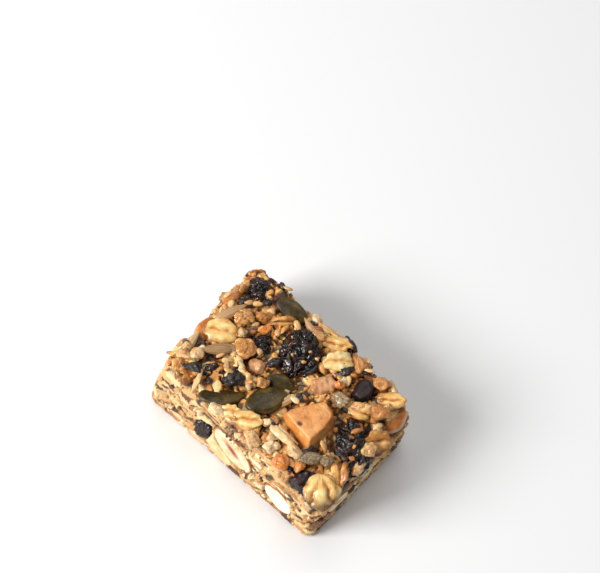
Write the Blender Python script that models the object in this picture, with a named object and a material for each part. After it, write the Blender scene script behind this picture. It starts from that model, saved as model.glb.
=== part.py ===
"""A square cut from a tray-baked slab of rolled oats, seeds, nuts and dried fruit.

Metres, +Z up. The origin is the centre of the flat base, and the long cut side in front faces
-Y. The fruit, nuts, chocolate and large seeds are solids of their own, each in a pocket of the
baked mix. The oat flakes and small seeds are fused to the mix, clear of those pieces.
"""

import math

import bmesh
import bpy
import numpy as np
from mathutils import Matrix, Vector
from mathutils.bvhtree import BVHTree

MM = 0.001

# The slab as cut: uneven corners in plan, sides that splay to the foot, and a flat base.
HEIGHT = 21.0 * MM
TOP_CORNERS = {
    "front_left": Vector((-25.3, -17.6)) * MM,
    "front_right": Vector((26.2, -17.2)) * MM,
    "back_right": Vector((26.0, 17.4)) * MM,
    "back_left": Vector((-27.6, 19.4)) * MM,
}
FOOT_CORNERS = {
    "front_left": Vector((-26.6, -19.8)) * MM,
    "front_right": Vector((28.0, -19.2)) * MM,
    "back_right": Vector((27.8, 18.0)) * MM,
    "back_left": Vector((-27.8, 19.8)) * MM,
}
EDGE_ROUND = 3.0 * MM
FOOT_ROUND = 0.9 * MM
FACET = 3.0 * MM  # spacing of the mix's facets
SWELL = 0.45 * MM  # broad unevenness of its faces
CRUMB = 0.5 * MM  # crags between its crumbs

POCKET_GAP = 0.32 * MM  # clearance all round a piece in its pocket
CUT_PROUD = 0.15 * MM  # how far a knife-cut piece stands out of the cut side

# The fused pieces: spacing of the jittered rows, and sizes as (length, width, thickness).
TOP_PITCH = 6.2 * MM
SIDE_PITCH = 7.8 * MM
TOP_MARGIN = 2.4 * MM  # no flake's middle comes nearer to the edge of the top
SIDE_MARGIN = 3.4 * MM  # nor to an upright edge
FLAKE_SIZE = Vector((7.0, 4.9, 1.5)) * MM
SIDE_FLAKE_SIZE = Vector((6.6, 3.6, 2.0)) * MM
SIDE_SINK = 0.32  # share of a side flake's width from the cut side to its middle
SESAME_SIZE = Vector((3.2, 2.1, 1.3)) * MM
SEED = 7

# Finishes: linear RGB and roughness.
BAKED_MIX = ((0.55, 0.30, 0.12), 0.55)
DRIED_GRAPE = ((0.010, 0.006, 0.006), 0.35)
ROAST_NUT = ((0.72, 0.34, 0.11), 0.5)
CUT_NUT = ((0.86, 0.68, 0.42), 0.6)
GREEN_SEED = ((0.07, 0.055, 0.018), 0.4)
DARK_CHOCOLATE = ((0.030, 0.012, 0.009), 0.35)
DRIED_APRICOT = ((0.62, 0.20, 0.03), 0.35)

# The pieces on top, in mm and degrees:
# name: shape, finish, centre, (length, width, thickness), (turn, tilt, roll).
TOP_PIECES = {
    "raisin_back": ("grape", DRIED_GRAPE, (-2.8, 7.6, 20.3), (13.0, 11.2, 8.6), (136, 4, 0)),
    "raisin_round": ("grape", DRIED_GRAPE, (-11.2, 3.0, 20.2), (6.0, 5.0, 4.4), (38, 0, 0)),
    "raisin_long": ("grape", DRIED_GRAPE, (21.6, -1.0, 19.3), (14.8, 9.6, 8.0), (-35, -10, 0)),
    "raisin_left": ("grape", DRIED_GRAPE, (-15.8, -10.4, 19.5), (6.6, 5.4, 5.4), (40, 0, 0)),
    "raisin_corner": ("grape", DRIED_GRAPE, (-22.4, 14.2, 19.6), (7.4, 6.4, 5.6), (15, 0, 0)),
    "chocolate_right": ("oval", DARK_CHOCOLATE, (14.6, 11.5, 20.2), (7.4, 6.2, 5.2), (-75, 0, 0)),
    "chocolate_front": ("chip", DARK_CHOCOLATE, (19.6, -14.4, 18.7), (8.0, 5.2, 5.0), (30, 6, 14)),
    "nut_chunk_large": ("chunk", ROAST_NUT, (10.1, -3.8, 20.9), (11.0, 12.8, 5.6), (0, 4, -5)),
    "nut_chunk_beige": ("chip", ROAST_NUT, (6.2, 5.2, 20.4), (7.2, 4.8, 4.4), (58, 0, 6)),
    "nut_round": ("oval", ROAST_NUT, (-8.3, -2.2, 20.3), (5.0, 4.2, 3.6), (29, 0, 0)),
    "pumpkin_seed_edge": ("seed", GREEN_SEED, (-9.2, -13.7, 20.2), (11.8, 6.6, 2.3), (46, 0, -24)),
    "pumpkin_seed_flat": ("seed", GREEN_SEED, (-0.6, -7.2, 21.0), (10.8, 7.0, 2.8), (62, 2, -6)),
    "pumpkin_seed_mid": ("seed", GREEN_SEED, (-1.3, -1.1, 20.3), (7.8, 4.6, 2.3), (20, 0, 26)),
    "pumpkin_seed_back": ("seed", GREEN_SEED, (-12.6, 15.2, 20.3), (10.4, 5.6, 2.3), (8, 0, 24)),
    "apricot_left": ("oval", DRIED_APRICOT, (-24.6, -3.8, 18.6), (9.0, 3.8, 4.6), (-80, 0, -20)),
    "apricot_right": ("oval", DRIED_APRICOT, (24.8, 12.2, 17.8), (8.6, 4.4, 5.8), (84, 0, -20)),
}

# The outline of the large nut piece from its centre, and of the smaller chips as shares of their
# length and width.
NUT_OUTLINE = (
    (-0.50, -0.33),
    (-0.47, -0.12),
    (-0.02, 0.50),
    (0.42, 0.34),
    (0.50, 0.10),
    (0.46, -0.50),
    (0.12, -0.45),
)
CHIP_OUTLINE = (
    (-0.50, -0.20),
    (-0.28, 0.46),
    (0.24, 0.50),
    (0.50, 0.16),
    (0.38, -0.44),
    (-0.22, -0.50),
)

# The pieces that the knife cut through, in mm and degrees:
# name: shape, finish, side, (along, up, sunk) of the centre, (length, depth, height), tilt.
SIDE_PIECES = {
    "cut_nut_long": ("oval", CUT_NUT, "front", (-0.4, 9.8, 1.2), (15.2, 9.0, 9.0), -30),
    "cut_nut_white": ("oval", CUT_NUT, "front", (15.4, 6.2, 1.0), (10.2, 7.4, 7.0), -24),
    "raisin_cut_front": ("grape", DRIED_GRAPE, "front", (-10.0, 7.2, 0.8), (4.6, 5.4, 9.6), -8),
    "cut_nut_back": ("oval", CUT_NUT, "back", (-9.0, 9.6, 1.0), (12.0, 8.0, 7.0), 16),
    "raisin_cut_back": ("grape", DRIED_GRAPE, "back", (8.6, 8.4, 0.8), (11.0, 6.4, 6.6), -12),
    "chocolate_cut_back": ("chip", DARK_CHOCOLATE, "back", (19.4, 12.0, 0.6), (7.0, 5.0, 4.2), 10),
    "pumpkin_seed_cut_back": ("seed", GREEN_SEED, "back", (-1.0, 3.6, 0.4), (10.4, 5.0, 2.4), 8),
    "cut_nut_left": ("oval", CUT_NUT, "left", (-4.4, 8.0, 1.0), (10.6, 7.4, 6.4), 20),
    "raisin_cut_left": ("grape", DRIED_GRAPE, "left", (7.6, 6.6, 0.8), (9.0, 5.6, 5.6), -10),
    "raisin_cut_right": ("grape", DRIED_GRAPE, "right", (-8.2, 14.2, 0.8), (7.0, 5.6, 4.8), 14),
    "cut_nut_right": ("oval", CUT_NUT, "right", (-8.8, 8.2, 1.0), (8.4, 6.6, 5.4), -18),
}

# The flakes and seeds placed by hand, fused to the top, in mm and degrees:
# (x, y, height above the slab), (length, width, thickness), (turn, tilt, roll).
TOP_FLAKES = (
    ((-20.6, -2.0, 0.6), (7.8, 6.2, 2.0), (42, 4, 8)),
    ((1.5, 15.8, 0.4), (7.4, 4.2, 1.9), (32, 6, 10)),
    ((5.2, 12.4, 0.8), (7.8, 5.0, 2.0), (56, -4, 10)),
    ((-0.2, 17.2, 0.1), (10.0, 2.8, 2.0), (6, 0, 0)),
    ((-18.2, -6.8, 0.5), (9.2, 3.2, 2.1), (47, 3, 0)),
    ((-15.3, -15.2, 0.4), (7.2, 1.8, 1.8), (-67, 6, 0)),
    ((-0.4, -14.6, 0.4), (7.8, 4.2, 2.0), (41, 6, 14)),
    ((-4.8, -15.8, 0.0), (4.8, 3.6, 2.0), (32, 0, 8)),
    ((8.4, -12.6, 0.3), (9.2, 3.0, 2.1), (-1, 0, 0)),
    ((13.6, -12.8, 0.3), (3.9, 3.4, 2.4), (0, 0, 0)),
    ((8.2, -15.8, 0.0), (3.6, 3.2, 2.4), (60, 0, 0)),
    ((12.6, -16.0, 0.0), (4.4, 3.8, 2.8), (24, 0, 0)),
    ((23.2, -10.4, 0.0), (6.8, 4.2, 2.3), (-37, -4, 24)),
    ((23.6, -14.6, -0.5), (6.6, 6.2, 2.3), (-11, -14, 0)),
    ((25.0, 4.8, -1.0), (6.4, 5.4, 2.8), (76, 0, 26)),
    ((20.8, 9.0, 0.3), (6.2, 4.2, 2.6), (31, 0, 0)),
    ((20.6, 13.8, 0.5), (7.6, 3.6, 2.0), (36, 12, 0)),
    ((17.6, 16.0, 0.1), (4.6, 3.8, 2.6), (30, 0, 0)),
    ((-5.4, -4.6, 0.3), (4.2, 2.8, 2.2), (59, 0, 0)),
    ((-13.4, -1.0, 0.3), (5.8, 5.0, 2.0), (24, 0, 6)),
    ((-19.0, 5.0, 0.3), (4.8, 3.8, 2.6), (0, 0, 0)),
    ((-16.0, 7.8, 0.2), (3.8, 3.2, 2.6), (25, 0, 0)),
    ((-12.0, 10.8, 0.4), (8.0, 2.6, 1.8), (46, 6, 0)),
    ((-14.6, 4.6, 0.2), (4.2, 2.6, 2.2), (54, 0, 0)),
    ((12.2, 5.4, 0.2), (4.6, 4.4, 2.8), (0, 0, 0)),
    ((7.6, 10.6, 0.2), (4.0, 2.8, 2.4), (66, 0, 0)),
)
TOP_SESAME = ((-11.8, -8.6), (-7.4, -7.6), (-14.0, -6.8), (-12.3, -4.5), (-9.6, -6.0), (-21.0, 8.6))


# --- Helpers --------------------------------------------------------------------------------------


def clear_scene():
    for obj in list(bpy.data.objects):
        bpy.data.objects.remove(obj)


def new_collection(name):
    made = bpy.data.collections.new(name)
    bpy.context.scene.collection.children.link(made)
    return made


def new_object(name, bm, collection, finish=None):
    """Puts the bmesh into an object of the collection, with its own material, and frees it."""
    bmesh.ops.recalc_face_normals(bm, faces=bm.faces)
    mesh = bpy.data.meshes.new(name)
    bm.to_mesh(mesh)
    bm.free()
    obj = bpy.data.objects.new(name, mesh)
    collection.objects.link(obj)
    if finish:
        surface = bpy.data.materials.new(name)
        surface.use_nodes = True
        shader = surface.node_tree.nodes["Principled BSDF"]
        colour, roughness = finish
        shader.inputs["Base Color"].default_value = (*colour, 1.0)
        shader.inputs["Roughness"].default_value = roughness
        mesh.materials.append(surface)
    return obj


def reshape(bm, rule):
    """Moves every vertex to rule(points), where points is an (n, 3) array."""
    places = rule(np.array([vertex.co for vertex in bm.verts]))
    for vertex, place in zip(bm.verts, places):
        vertex.co = place


def turned(turn, tilt=0.0, roll=0.0):
    """Rolls about the length, then lifts the +X end by tilt, then turns in plan, in degrees."""
    return (
        Matrix.Rotation(math.radians(turn), 4, "Z")
        @ Matrix.Rotation(math.radians(-tilt), 4, "Y")
        @ Matrix.Rotation(math.radians(roll), 4, "X")
    )


def waves(points, seed, shortest, longest, count=14):
    """A smooth uneven field of about -1 to 1: a sum of sine waves whose directions, phases and
    lengths, from shortest to longest, are drawn from the seed."""
    rng = np.random.default_rng(seed)
    total = np.zeros(len(points))
    for _ in range(count):
        direction = rng.normal(size=3)
        direction /= np.linalg.norm(direction)
        length = rng.uniform(shortest, longest)
        total += np.sin(points @ direction * (2 * math.pi / length) + rng.uniform(0, 2 * math.pi))
    return total / math.sqrt(2.0 * count)


# --- The baked mix --------------------------------------------------------------------------------


def slab_half():
    """Half the length, width and height of the plain box that stands for the slab: as long as its
    front foot edge and as wide as its right one."""
    length = (FOOT_CORNERS["front_right"] - FOOT_CORNERS["front_left"]).x
    width = (FOOT_CORNERS["back_right"] - FOOT_CORNERS["front_right"]).y
    return np.array([length, width, HEIGHT]) / 2


def slab_surface(points):
    """Carries points on the faces of the plain box, which stands on z = 0, onto the slab.

    The top and upright edges are rounded to EDGE_ROUND and the foot to FOOT_ROUND, the faces swell
    and crumble, and the plan is blended between the four corners, which draw in from the foot to
    the top. The base stays flat."""
    half = slab_half()
    inner_low = np.array([EDGE_ROUND - half[0], EDGE_ROUND - half[1], FOOT_ROUND])
    inner_high = np.array([half[0] - EDGE_ROUND, half[1] - EDGE_ROUND, HEIGHT - EDGE_ROUND])
    core = np.clip(points, inner_low, inner_high)
    squash = np.ones_like(points)
    squash[:, 2] = np.where(points[:, 2] < FOOT_ROUND, FOOT_ROUND / EDGE_ROUND, 1.0)
    outward = (points - core) / squash
    outward /= np.maximum(np.linalg.norm(outward, axis=1, keepdims=True), 1e-9)
    placed = core + outward * squash * EDGE_ROUND

    broad = SWELL * waves(placed, SEED, 20 * MM, 38 * MM)
    crags = CRUMB * waves(placed, SEED + 1, 5 * MM, 12 * MM)
    fade = np.clip(placed[:, 2] / (3 * MM), 0, 1)
    placed = placed + outward * ((broad + crags) * fade)[:, None]

    across = (1 + placed[:, 0:1] / half[0]) / 2
    inward = (1 + placed[:, 1:2] / half[1]) / 2
    rise = np.clip(placed[:, 2:3] / HEIGHT, 0, 1)
    corner = {
        name: (1 - rise) * np.array(FOOT_CORNERS[name]) + rise * np.array(TOP_CORNERS[name])
        for name in TOP_CORNERS
    }
    front = (1 - across) * corner["front_left"] + across * corner["front_right"]
    back = (1 - across) * corner["back_left"] + across * corner["back_right"]
    return np.hstack([(1 - inward) * front + inward * back, placed[:, 2:3]])


def make_mix(collection):
    """The baked mix before its pieces: a subdivided cube carried onto the slab, with a flat base."""
    half = slab_half()
    bm = bmesh.new()
    bmesh.ops.create_cube(bm, size=2.0)
    for axis in range(3):
        along = [edge for edge in bm.edges if abs(edge.verts[0].co[axis] - edge.verts[1].co[axis]) > 1]
        cuts = round(2 * half[axis] / FACET) - 1
        bmesh.ops.subdivide_edges(bm, edges=along, cuts=cuts, use_grid_fill=True)
    reshape(bm, lambda points: slab_surface(points * half + np.array([0, 0, half[2]])))
    base = [face for face in bm.faces if face.calc_center_median().z < 1e-7]
    bmesh.ops.dissolve_faces(bm, faces=base)
    bmesh.ops.triangulate(bm, faces=bm.faces)
    return new_object("baked_mix", bm, collection, BAKED_MIX)


# --- Shapes of the pieces, centred on the origin with their length along X -------------------------


def grape_shape(size, seed, detail=3):
    """A dried grape: a ball folded into wrinkles, less deep on a small one."""
    bm = bmesh.new()
    bmesh.ops.create_icosphere(bm, subdivisions=detail, radius=0.5)

    def folded(points):
        folds = np.abs(waves(points, seed, 0.32, 0.55))
        swell = waves(points, seed + 1, 0.8, 1.4)
        return points * (1.04 + 0.08 * swell - 0.18 * folds)[:, None] * np.array(size)

    reshape(bm, folded)
    return bm


def oval_shape(size, nose=0.0, sides=12, rings=6):
    """A bean, nut or flake: a ball pressed to its size, its +X end narrowed by nose."""
    bm = bmesh.new()
    bmesh.ops.create_uvsphere(bm, u_segments=sides, v_segments=rings, radius=0.5)

    def pressed(points):
        narrow = 1 - nose * np.clip(points[:, 0] * 2, 0, 1) ** 2
        shape = np.stack([np.ones_like(narrow), narrow, narrow], axis=1)
        return points * shape * np.array(size)

    reshape(bm, pressed)
    return bm


def chip_shape(size, outline, seed):
    """A broken piece: its outline drawn out to its thickness, narrower at both faces, with uneven
    corners and chipped edges."""
    rng = np.random.default_rng(seed)
    bm = bmesh.new()
    rim = [bm.verts.new((x, y, -0.5)) for x, y in outline]
    bm.faces.new(rim)
    for height, spread in ((0.0, 1.14), (0.5, 0.86)):
        top = max(bm.faces, key=lambda face: face.calc_center_median().z)
        grown = bmesh.ops.extrude_face_region(bm, geom=[top])
        for vertex in [item for item in grown["geom"] if isinstance(item, bmesh.types.BMVert)]:
            vertex.co = Vector((vertex.co.x * spread, vertex.co.y * spread, height))
        if height > 0:
            bmesh.ops.delete(bm, geom=[top], context="FACES_ONLY")
    reshape(bm, lambda points: (points + rng.uniform(-0.04, 0.04, points.shape)) * np.array(size))
    bmesh.ops.recalc_face_normals(bm, faces=bm.faces)
    bmesh.ops.bevel(
        bm, geom=list(bm.edges), offset=0.1 * min(size), segments=1, profile=0.5, affect="EDGES"
    )
    return bm


def piece_shape(shape, size, seed):
    """The shape of that name at this size, as a bmesh."""
    if shape == "grape":
        return grape_shape(size, seed, detail=3 if max(size) > 8 * MM else 2)
    if shape == "seed":
        return oval_shape(size, nose=0.4, sides=14, rings=6)
    if shape == "chunk":
        return chip_shape(size, NUT_OUTLINE, seed)
    if shape == "chip":
        return chip_shape(size, CHIP_OUTLINE, seed)
    return oval_shape(size, nose=0.15)


# --- Placing the pieces in their pockets ----------------------------------------------------------


def side_frame(side):
    """The frame of a cut side: its origin at the middle of the side's foot, X along the side, Y
    into the slab and Z up the side, which leans in."""
    start, end = {
        "front": ("front_left", "front_right"),
        "right": ("front_right", "back_right"),
        "back": ("back_right", "back_left"),
        "left": ("back_left", "front_left"),
    }[side]
    middle = (FOOT_CORNERS[start] + FOOT_CORNERS[end]) / 2
    run = FOOT_CORNERS[end] - FOOT_CORNERS[start]
    drawn_in = (TOP_CORNERS[start] + TOP_CORNERS[end]) / 2 - middle
    inset = drawn_in.dot(Vector((-run.y, run.x)).normalized())
    return (
        Matrix.Translation((middle.x, middle.y, 0))
        @ Matrix.Rotation(math.atan2(run.y, run.x), 4, "Z")
        @ Matrix.Rotation(-math.atan2(inset, HEIGHT), 4, "X")
    )


def make_pocket_cutter(name, bm, collection):
    """The pocket that a piece sits in: the piece's hull, moved out by the gap all round."""
    hull = bm.copy()
    shell = bmesh.ops.convex_hull(hull, input=hull.verts)
    inside = set(shell["geom_interior"]) | set(shell["geom_unused"])
    bmesh.ops.delete(hull, geom=[item for item in inside if isinstance(item, bmesh.types.BMVert)])
    outer = [face for face in hull.faces if face in set(shell["geom"])]
    loose = [face for face in hull.faces if face not in set(outer)]
    bmesh.ops.delete(hull, geom=loose, context="FACES_ONLY")
    bmesh.ops.recalc_face_normals(hull, faces=hull.faces)
    hull.normal_update()
    moves = [(vertex, vertex.normal * POCKET_GAP) for vertex in hull.verts]
    for vertex, move in moves:
        vertex.co += move
    cutter = new_object(name + "_pocket", hull, collection)
    cutter.hide_render = True
    cutter.display_type = "WIRE"
    return cutter


def make_pieces(parts, cutters):
    """Every piece with a node of its own, and its pocket cutter."""
    for number, (name, row) in enumerate(TOP_PIECES.items()):
        shape, finish, centre, size, angles = row
        bm = piece_shape(shape, Vector(size) * MM, 100 + number)
        bmesh.ops.transform(
            bm, matrix=Matrix.Translation(Vector(centre) * MM) @ turned(*angles), verts=bm.verts
        )
        make_pocket_cutter(name, bm, cutters)
        new_object(name, bm, parts, finish)
    for number, (name, row) in enumerate(SIDE_PIECES.items()):
        shape, finish, side, (along, up, sunk), size, tilt = row
        frame = side_frame(side)
        bm = piece_shape(shape, Vector(size) * MM, 200 + number)
        place = frame @ Matrix.Translation(Vector((along, sunk, up)) * MM) @ turned(0, tilt)
        bmesh.ops.transform(bm, matrix=place, verts=bm.verts)
        make_pocket_cutter(name, bm, cutters)
        outward = -frame.col[1].to_3d()
        bmesh.ops.triangulate(bm, faces=bm.faces)
        bmesh.ops.bisect_plane(
            bm,
            geom=bm.verts[:] + bm.edges[:] + bm.faces[:],
            dist=1e-6,
            plane_co=frame.translation + outward * CUT_PROUD,
            plane_no=outward,
            clear_outer=True,
        )
        bmesh.ops.holes_fill(bm, edges=[edge for edge in bm.edges if edge.is_boundary])
        bmesh.ops.triangulate(bm, faces=bm.faces)
        new_object(name, bm, parts, finish)


# --- The fused flakes and seeds -------------------------------------------------------------------


def spots(face, rng):
    """Jittered rows of places on one face of the plain box, as an (n, 3) array."""
    half = slab_half()
    pitch = TOP_PITCH if face == "top" else SIDE_PITCH
    across = half[1] if face in ("left", "right") else half[0]
    rise = half[1] if face == "top" else half[2]
    columns = round(2 * across / pitch)
    rows = round(2 * rise / pitch)
    column, row = np.meshgrid(np.arange(columns), np.arange(rows))
    stagger = 0.5 * (row % 2) - 0.25
    u = ((column + 0.5 + stagger + rng.uniform(-0.3, 0.3, row.shape)) / columns * 2 - 1) * across
    v = ((row + 0.5 + rng.uniform(-0.25, 0.25, row.shape)) / rows * 2 - 1) * rise
    u, v = u.ravel(), v.ravel()
    flat = np.ones_like(u)
    if face == "top":
        u = np.clip(u, TOP_MARGIN - across, across - TOP_MARGIN)
        v = np.clip(v, TOP_MARGIN - rise, rise - TOP_MARGIN)
        return np.stack([u, v, HEIGHT * flat], axis=1)
    u = np.clip(u, SIDE_MARGIN - across, across - SIDE_MARGIN)
    up = v + half[2]
    return {
        "front": np.stack([u, -half[1] * flat, up], axis=1),
        "right": np.stack([half[0] * flat, u, up], axis=1),
        "back": np.stack([-u, half[1] * flat, up], axis=1),
        "left": np.stack([-half[0] * flat, -u, up], axis=1),
    }[face]


def flake(size, place):
    bm = oval_shape(size, nose=0.1, sides=8, rings=3)
    bmesh.ops.transform(bm, matrix=place, verts=bm.verts)
    return bm


def sesame(place):
    bm = bmesh.new()
    bmesh.ops.create_icosphere(bm, subdivisions=1, radius=0.5)
    bmesh.ops.transform(bm, matrix=place @ Matrix.Diagonal((*SESAME_SIZE, 1)), verts=bm.verts)
    return bm


def fused_shapes():
    """The flakes and seeds as bmeshes: those placed by hand first, then the seeded rows."""
    half = slab_half()
    rng = np.random.default_rng(SEED)

    def on_top(x, y, lift):
        ratio = np.clip(np.array([[x * MM / half[0], y * MM / half[1]]]), -1, 1)
        point = slab_surface(np.array([[ratio[0, 0] * half[0], ratio[0, 1] * half[1], HEIGHT]]))[0]
        return Matrix.Translation(Vector((x * MM, y * MM, point[2] + lift * MM)))

    for (x, y, lift), size, angles in TOP_FLAKES:
        yield flake(Vector(size) * MM, on_top(x, y, lift) @ turned(*angles))
    for number, (x, y) in enumerate(TOP_SESAME):
        yield sesame(on_top(x, y, 0.3) @ turned(50 * number))

    for point in slab_surface(spots("top", rng)):
        grow = rng.uniform(0.75, 1.1)
        angles = rng.uniform((0, -18, -18), (360, 18, 18))
        sink = Vector((0, 0, 0.15 * MM))
        yield flake(FLAKE_SIZE * grow, Matrix.Translation(Vector(point) + sink) @ turned(*angles))
    for side in ("front", "right", "back", "left"):
        frame = side_frame(side)
        inward = frame.col[1].to_3d() * SIDE_FLAKE_SIZE.y * SIDE_SINK
        for point in slab_surface(spots(side, rng)):
            grow = rng.uniform(0.75, 1.15)
            angles = rng.uniform((-8, -22, -12), (8, 22, 12))
            if point[2] < 2.2 * MM:
                continue
            yield flake(
                SIDE_FLAKE_SIZE * grow,
                Matrix.Translation(Vector(point) + inward) @ frame.to_3x3().to_4x4() @ turned(*angles),
            )


def clear_of(bm, pockets):
    """Whether a fused piece stays outside every pocket."""
    tree = BVHTree.FromBMesh(bm)
    centre = sum((vertex.co for vertex in bm.verts), Vector()) / len(bm.verts)
    for pocket in pockets:
        if tree.overlap(pocket):
            return False
        nearest, normal, _, _ = pocket.find_nearest(centre)
        if (centre - nearest).dot(normal) < 0:
            return False
    return True


def make_fused(collection, cutters):
    """Every flake and seed that keeps clear of the pockets and above the base, as objects."""
    depsgraph = bpy.context.evaluated_depsgraph_get()
    pockets = [BVHTree.FromObject(cutter, depsgraph) for cutter in cutters.objects]
    for number, bm in enumerate(fused_shapes()):
        bmesh.ops.recalc_face_normals(bm, faces=bm.faces)
        lowest = min(vertex.co.z for vertex in bm.verts)
        if lowest > 0.8 * MM and clear_of(bm, pockets):
            new_object(f"fused_{number:03d}", bm, collection)
        else:
            bm.free()


def combine(obj, collection, operation, solver):
    """Applies one Boolean of the whole collection to the object."""
    step = obj.modifiers.new(operation.lower(), "BOOLEAN")
    step.operation = operation
    step.solver = solver
    step.operand_type = "COLLECTION"
    step.collection = collection
    depsgraph = bpy.context.evaluated_depsgraph_get()
    result = bpy.data.meshes.new_from_object(obj.evaluated_get(depsgraph))
    obj.modifiers.remove(step)
    obj.data = result


def keep_outer_body(obj):
    """Keeps the largest connected body, so that no scrap or sealed hollow is left, and merges what
    is too fine to matter."""
    bm = bmesh.new()
    bm.from_mesh(obj.data)
    bmesh.ops.remove_doubles(bm, verts=bm.verts, dist=0.01 * MM)
    bmesh.ops.dissolve_degenerate(bm, edges=bm.edges, dist=0.01 * MM)
    left = set(bm.verts)
    bodies = []
    while left:
        body = {left.pop()}
        front = list(body)
        while front:
            near = {edge.other_vert(vertex) for vertex in front for edge in vertex.link_edges}
            front = list(near & left)
            left -= near
            body |= near
        bodies.append(body)
    main = max(bodies, key=len)
    bmesh.ops.delete(bm, geom=[vertex for body in bodies if body is not main for vertex in body])
    bmesh.ops.triangulate(bm, faces=bm.faces)
    bm.to_mesh(obj.data)
    bm.free()


def main():
    clear_scene()
    parts = new_collection("muesli_square")
    cutters = new_collection("pockets")
    fused = new_collection("fused_pieces")
    mix = make_mix(parts)
    make_pieces(parts, cutters)
    make_fused(fused, cutters)
    combine(mix, cutters, "DIFFERENCE", "EXACT")
    combine(mix, fused, "UNION", "EXACT")
    keep_outer_body(mix)
    for obj in list(fused.objects):
        bpy.data.objects.remove(obj)
    bpy.data.collections.remove(fused)


main()
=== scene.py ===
"""A square cut from a tray-baked slab of muesli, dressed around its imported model.

The file follows the square as it is made: first the syrup-bound mix, then the oats, seeds, crumbs
and fruit bits in it, then the raisins, nuts, pumpkin seeds, chocolate and apricots, and last the
floor, the light and the camera.
"""

import itertools
import math

import bpy
import numpy as np
from mathutils import Matrix, Vector


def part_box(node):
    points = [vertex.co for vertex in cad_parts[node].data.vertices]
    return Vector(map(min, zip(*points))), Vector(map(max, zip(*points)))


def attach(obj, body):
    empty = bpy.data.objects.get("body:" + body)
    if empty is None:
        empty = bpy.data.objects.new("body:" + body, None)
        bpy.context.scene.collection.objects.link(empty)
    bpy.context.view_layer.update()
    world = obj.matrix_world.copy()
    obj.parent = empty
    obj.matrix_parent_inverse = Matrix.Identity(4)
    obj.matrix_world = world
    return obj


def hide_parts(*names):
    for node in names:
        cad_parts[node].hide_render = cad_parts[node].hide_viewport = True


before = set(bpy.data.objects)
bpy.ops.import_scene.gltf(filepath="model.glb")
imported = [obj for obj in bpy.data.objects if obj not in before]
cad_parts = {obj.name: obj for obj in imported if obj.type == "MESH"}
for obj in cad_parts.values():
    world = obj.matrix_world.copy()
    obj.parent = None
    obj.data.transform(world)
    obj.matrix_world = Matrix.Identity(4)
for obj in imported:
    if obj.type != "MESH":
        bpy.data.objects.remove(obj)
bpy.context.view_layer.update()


# --- The baked mix --------------------------------------------------------------------------------
# Oats, seeds and crumbs stirred into hot syrup, pressed into a tray, baked and cut with a knife.
# The top keeps its rough, glazed crumb. The cut sides are paler and flatter, with the pieces sliced
# flush, and the base is flat where it lay on the tray.

MM = 0.001
HEIGHT = 21.0 * MM
TOP_CORNERS = np.array([[[-25.3, -17.6], [26.2, -17.2]], [[-27.6, 19.4], [26.0, 17.4]]]) * MM
FOOT_CORNERS = np.array([[[-26.6, -19.8], [28.0, -19.2]], [[-27.8, 19.8], [27.8, 18.0]]]) * MM
EDGE_ROUND = 3.0 * MM
FOOT_ROUND = 0.9 * MM
SWELL = 0.45 * MM
CRAGS = 0.5 * MM
SLAB_SEED = 7
SLAB_HALF = np.array(
    [FOOT_CORNERS[0, 1, 0] - FOOT_CORNERS[0, 0, 0], FOOT_CORNERS[1, 1, 1] - FOOT_CORNERS[0, 1, 1], HEIGHT],
) / 2


def waves(points, seed, shortest, longest, count=14):
    """A smooth uneven field of about -1 to 1: a sum of sine waves whose directions, phases and
    lengths, from shortest to longest, are drawn from the seed."""
    rng = np.random.default_rng(seed)
    total = np.zeros(len(points))
    for _ in range(count):
        direction = rng.normal(size=3)
        direction /= np.linalg.norm(direction)
        length = rng.uniform(shortest, longest)
        total += np.sin(points @ direction * (2 * math.pi / length) + rng.uniform(0, 2 * math.pi))
    return total / math.sqrt(2.0 * count)


def slab_surface(points):
    """Carries points on the faces of a plain box, which stands on z = 0, onto the slab, and gives
    the outward directions too: the edges are rounded by moving each point to its radius from the
    nearest point of an inner box, sine waves lift it, and the plan is blended between the four
    corners, which draw in from the foot to the top."""
    inner_low = np.array([EDGE_ROUND - SLAB_HALF[0], EDGE_ROUND - SLAB_HALF[1], FOOT_ROUND])
    inner_high = np.array([-inner_low[0], -inner_low[1], HEIGHT - EDGE_ROUND])
    core = np.clip(points, inner_low, inner_high)
    squash = np.ones_like(points)
    squash[:, 2] = np.where(points[:, 2] < FOOT_ROUND, FOOT_ROUND / EDGE_ROUND, 1.0)
    outward = (points - core) / squash
    outward /= np.maximum(np.linalg.norm(outward, axis=1, keepdims=True), 1e-9)
    placed = core + outward * squash * EDGE_ROUND
    broad = SWELL * waves(placed, SLAB_SEED, 20 * MM, 38 * MM)
    crags = CRAGS * waves(placed, SLAB_SEED + 1, 5 * MM, 12 * MM)
    fade = np.clip(placed[:, 2] / (3 * MM), 0, 1)
    placed = placed + outward * ((broad + crags) * fade)[:, None]
    across = (1 + placed[:, 0:1] / SLAB_HALF[0]) / 2
    inward = (1 + placed[:, 1:2] / SLAB_HALF[1]) / 2
    rise = np.clip(placed[:, 2:3] / HEIGHT, 0, 1)[..., None, None]
    corners = (1 - rise) * FOOT_CORNERS + rise * TOP_CORNERS
    front = (1 - across) * corners[:, 0, 0] + across * corners[:, 0, 1]
    back = (1 - across) * corners[:, 1, 0] + across * corners[:, 1, 1]
    plan = (1 - inward) * front + inward * back
    return np.hstack([plan, placed[:, 2:3]]), outward


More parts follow.
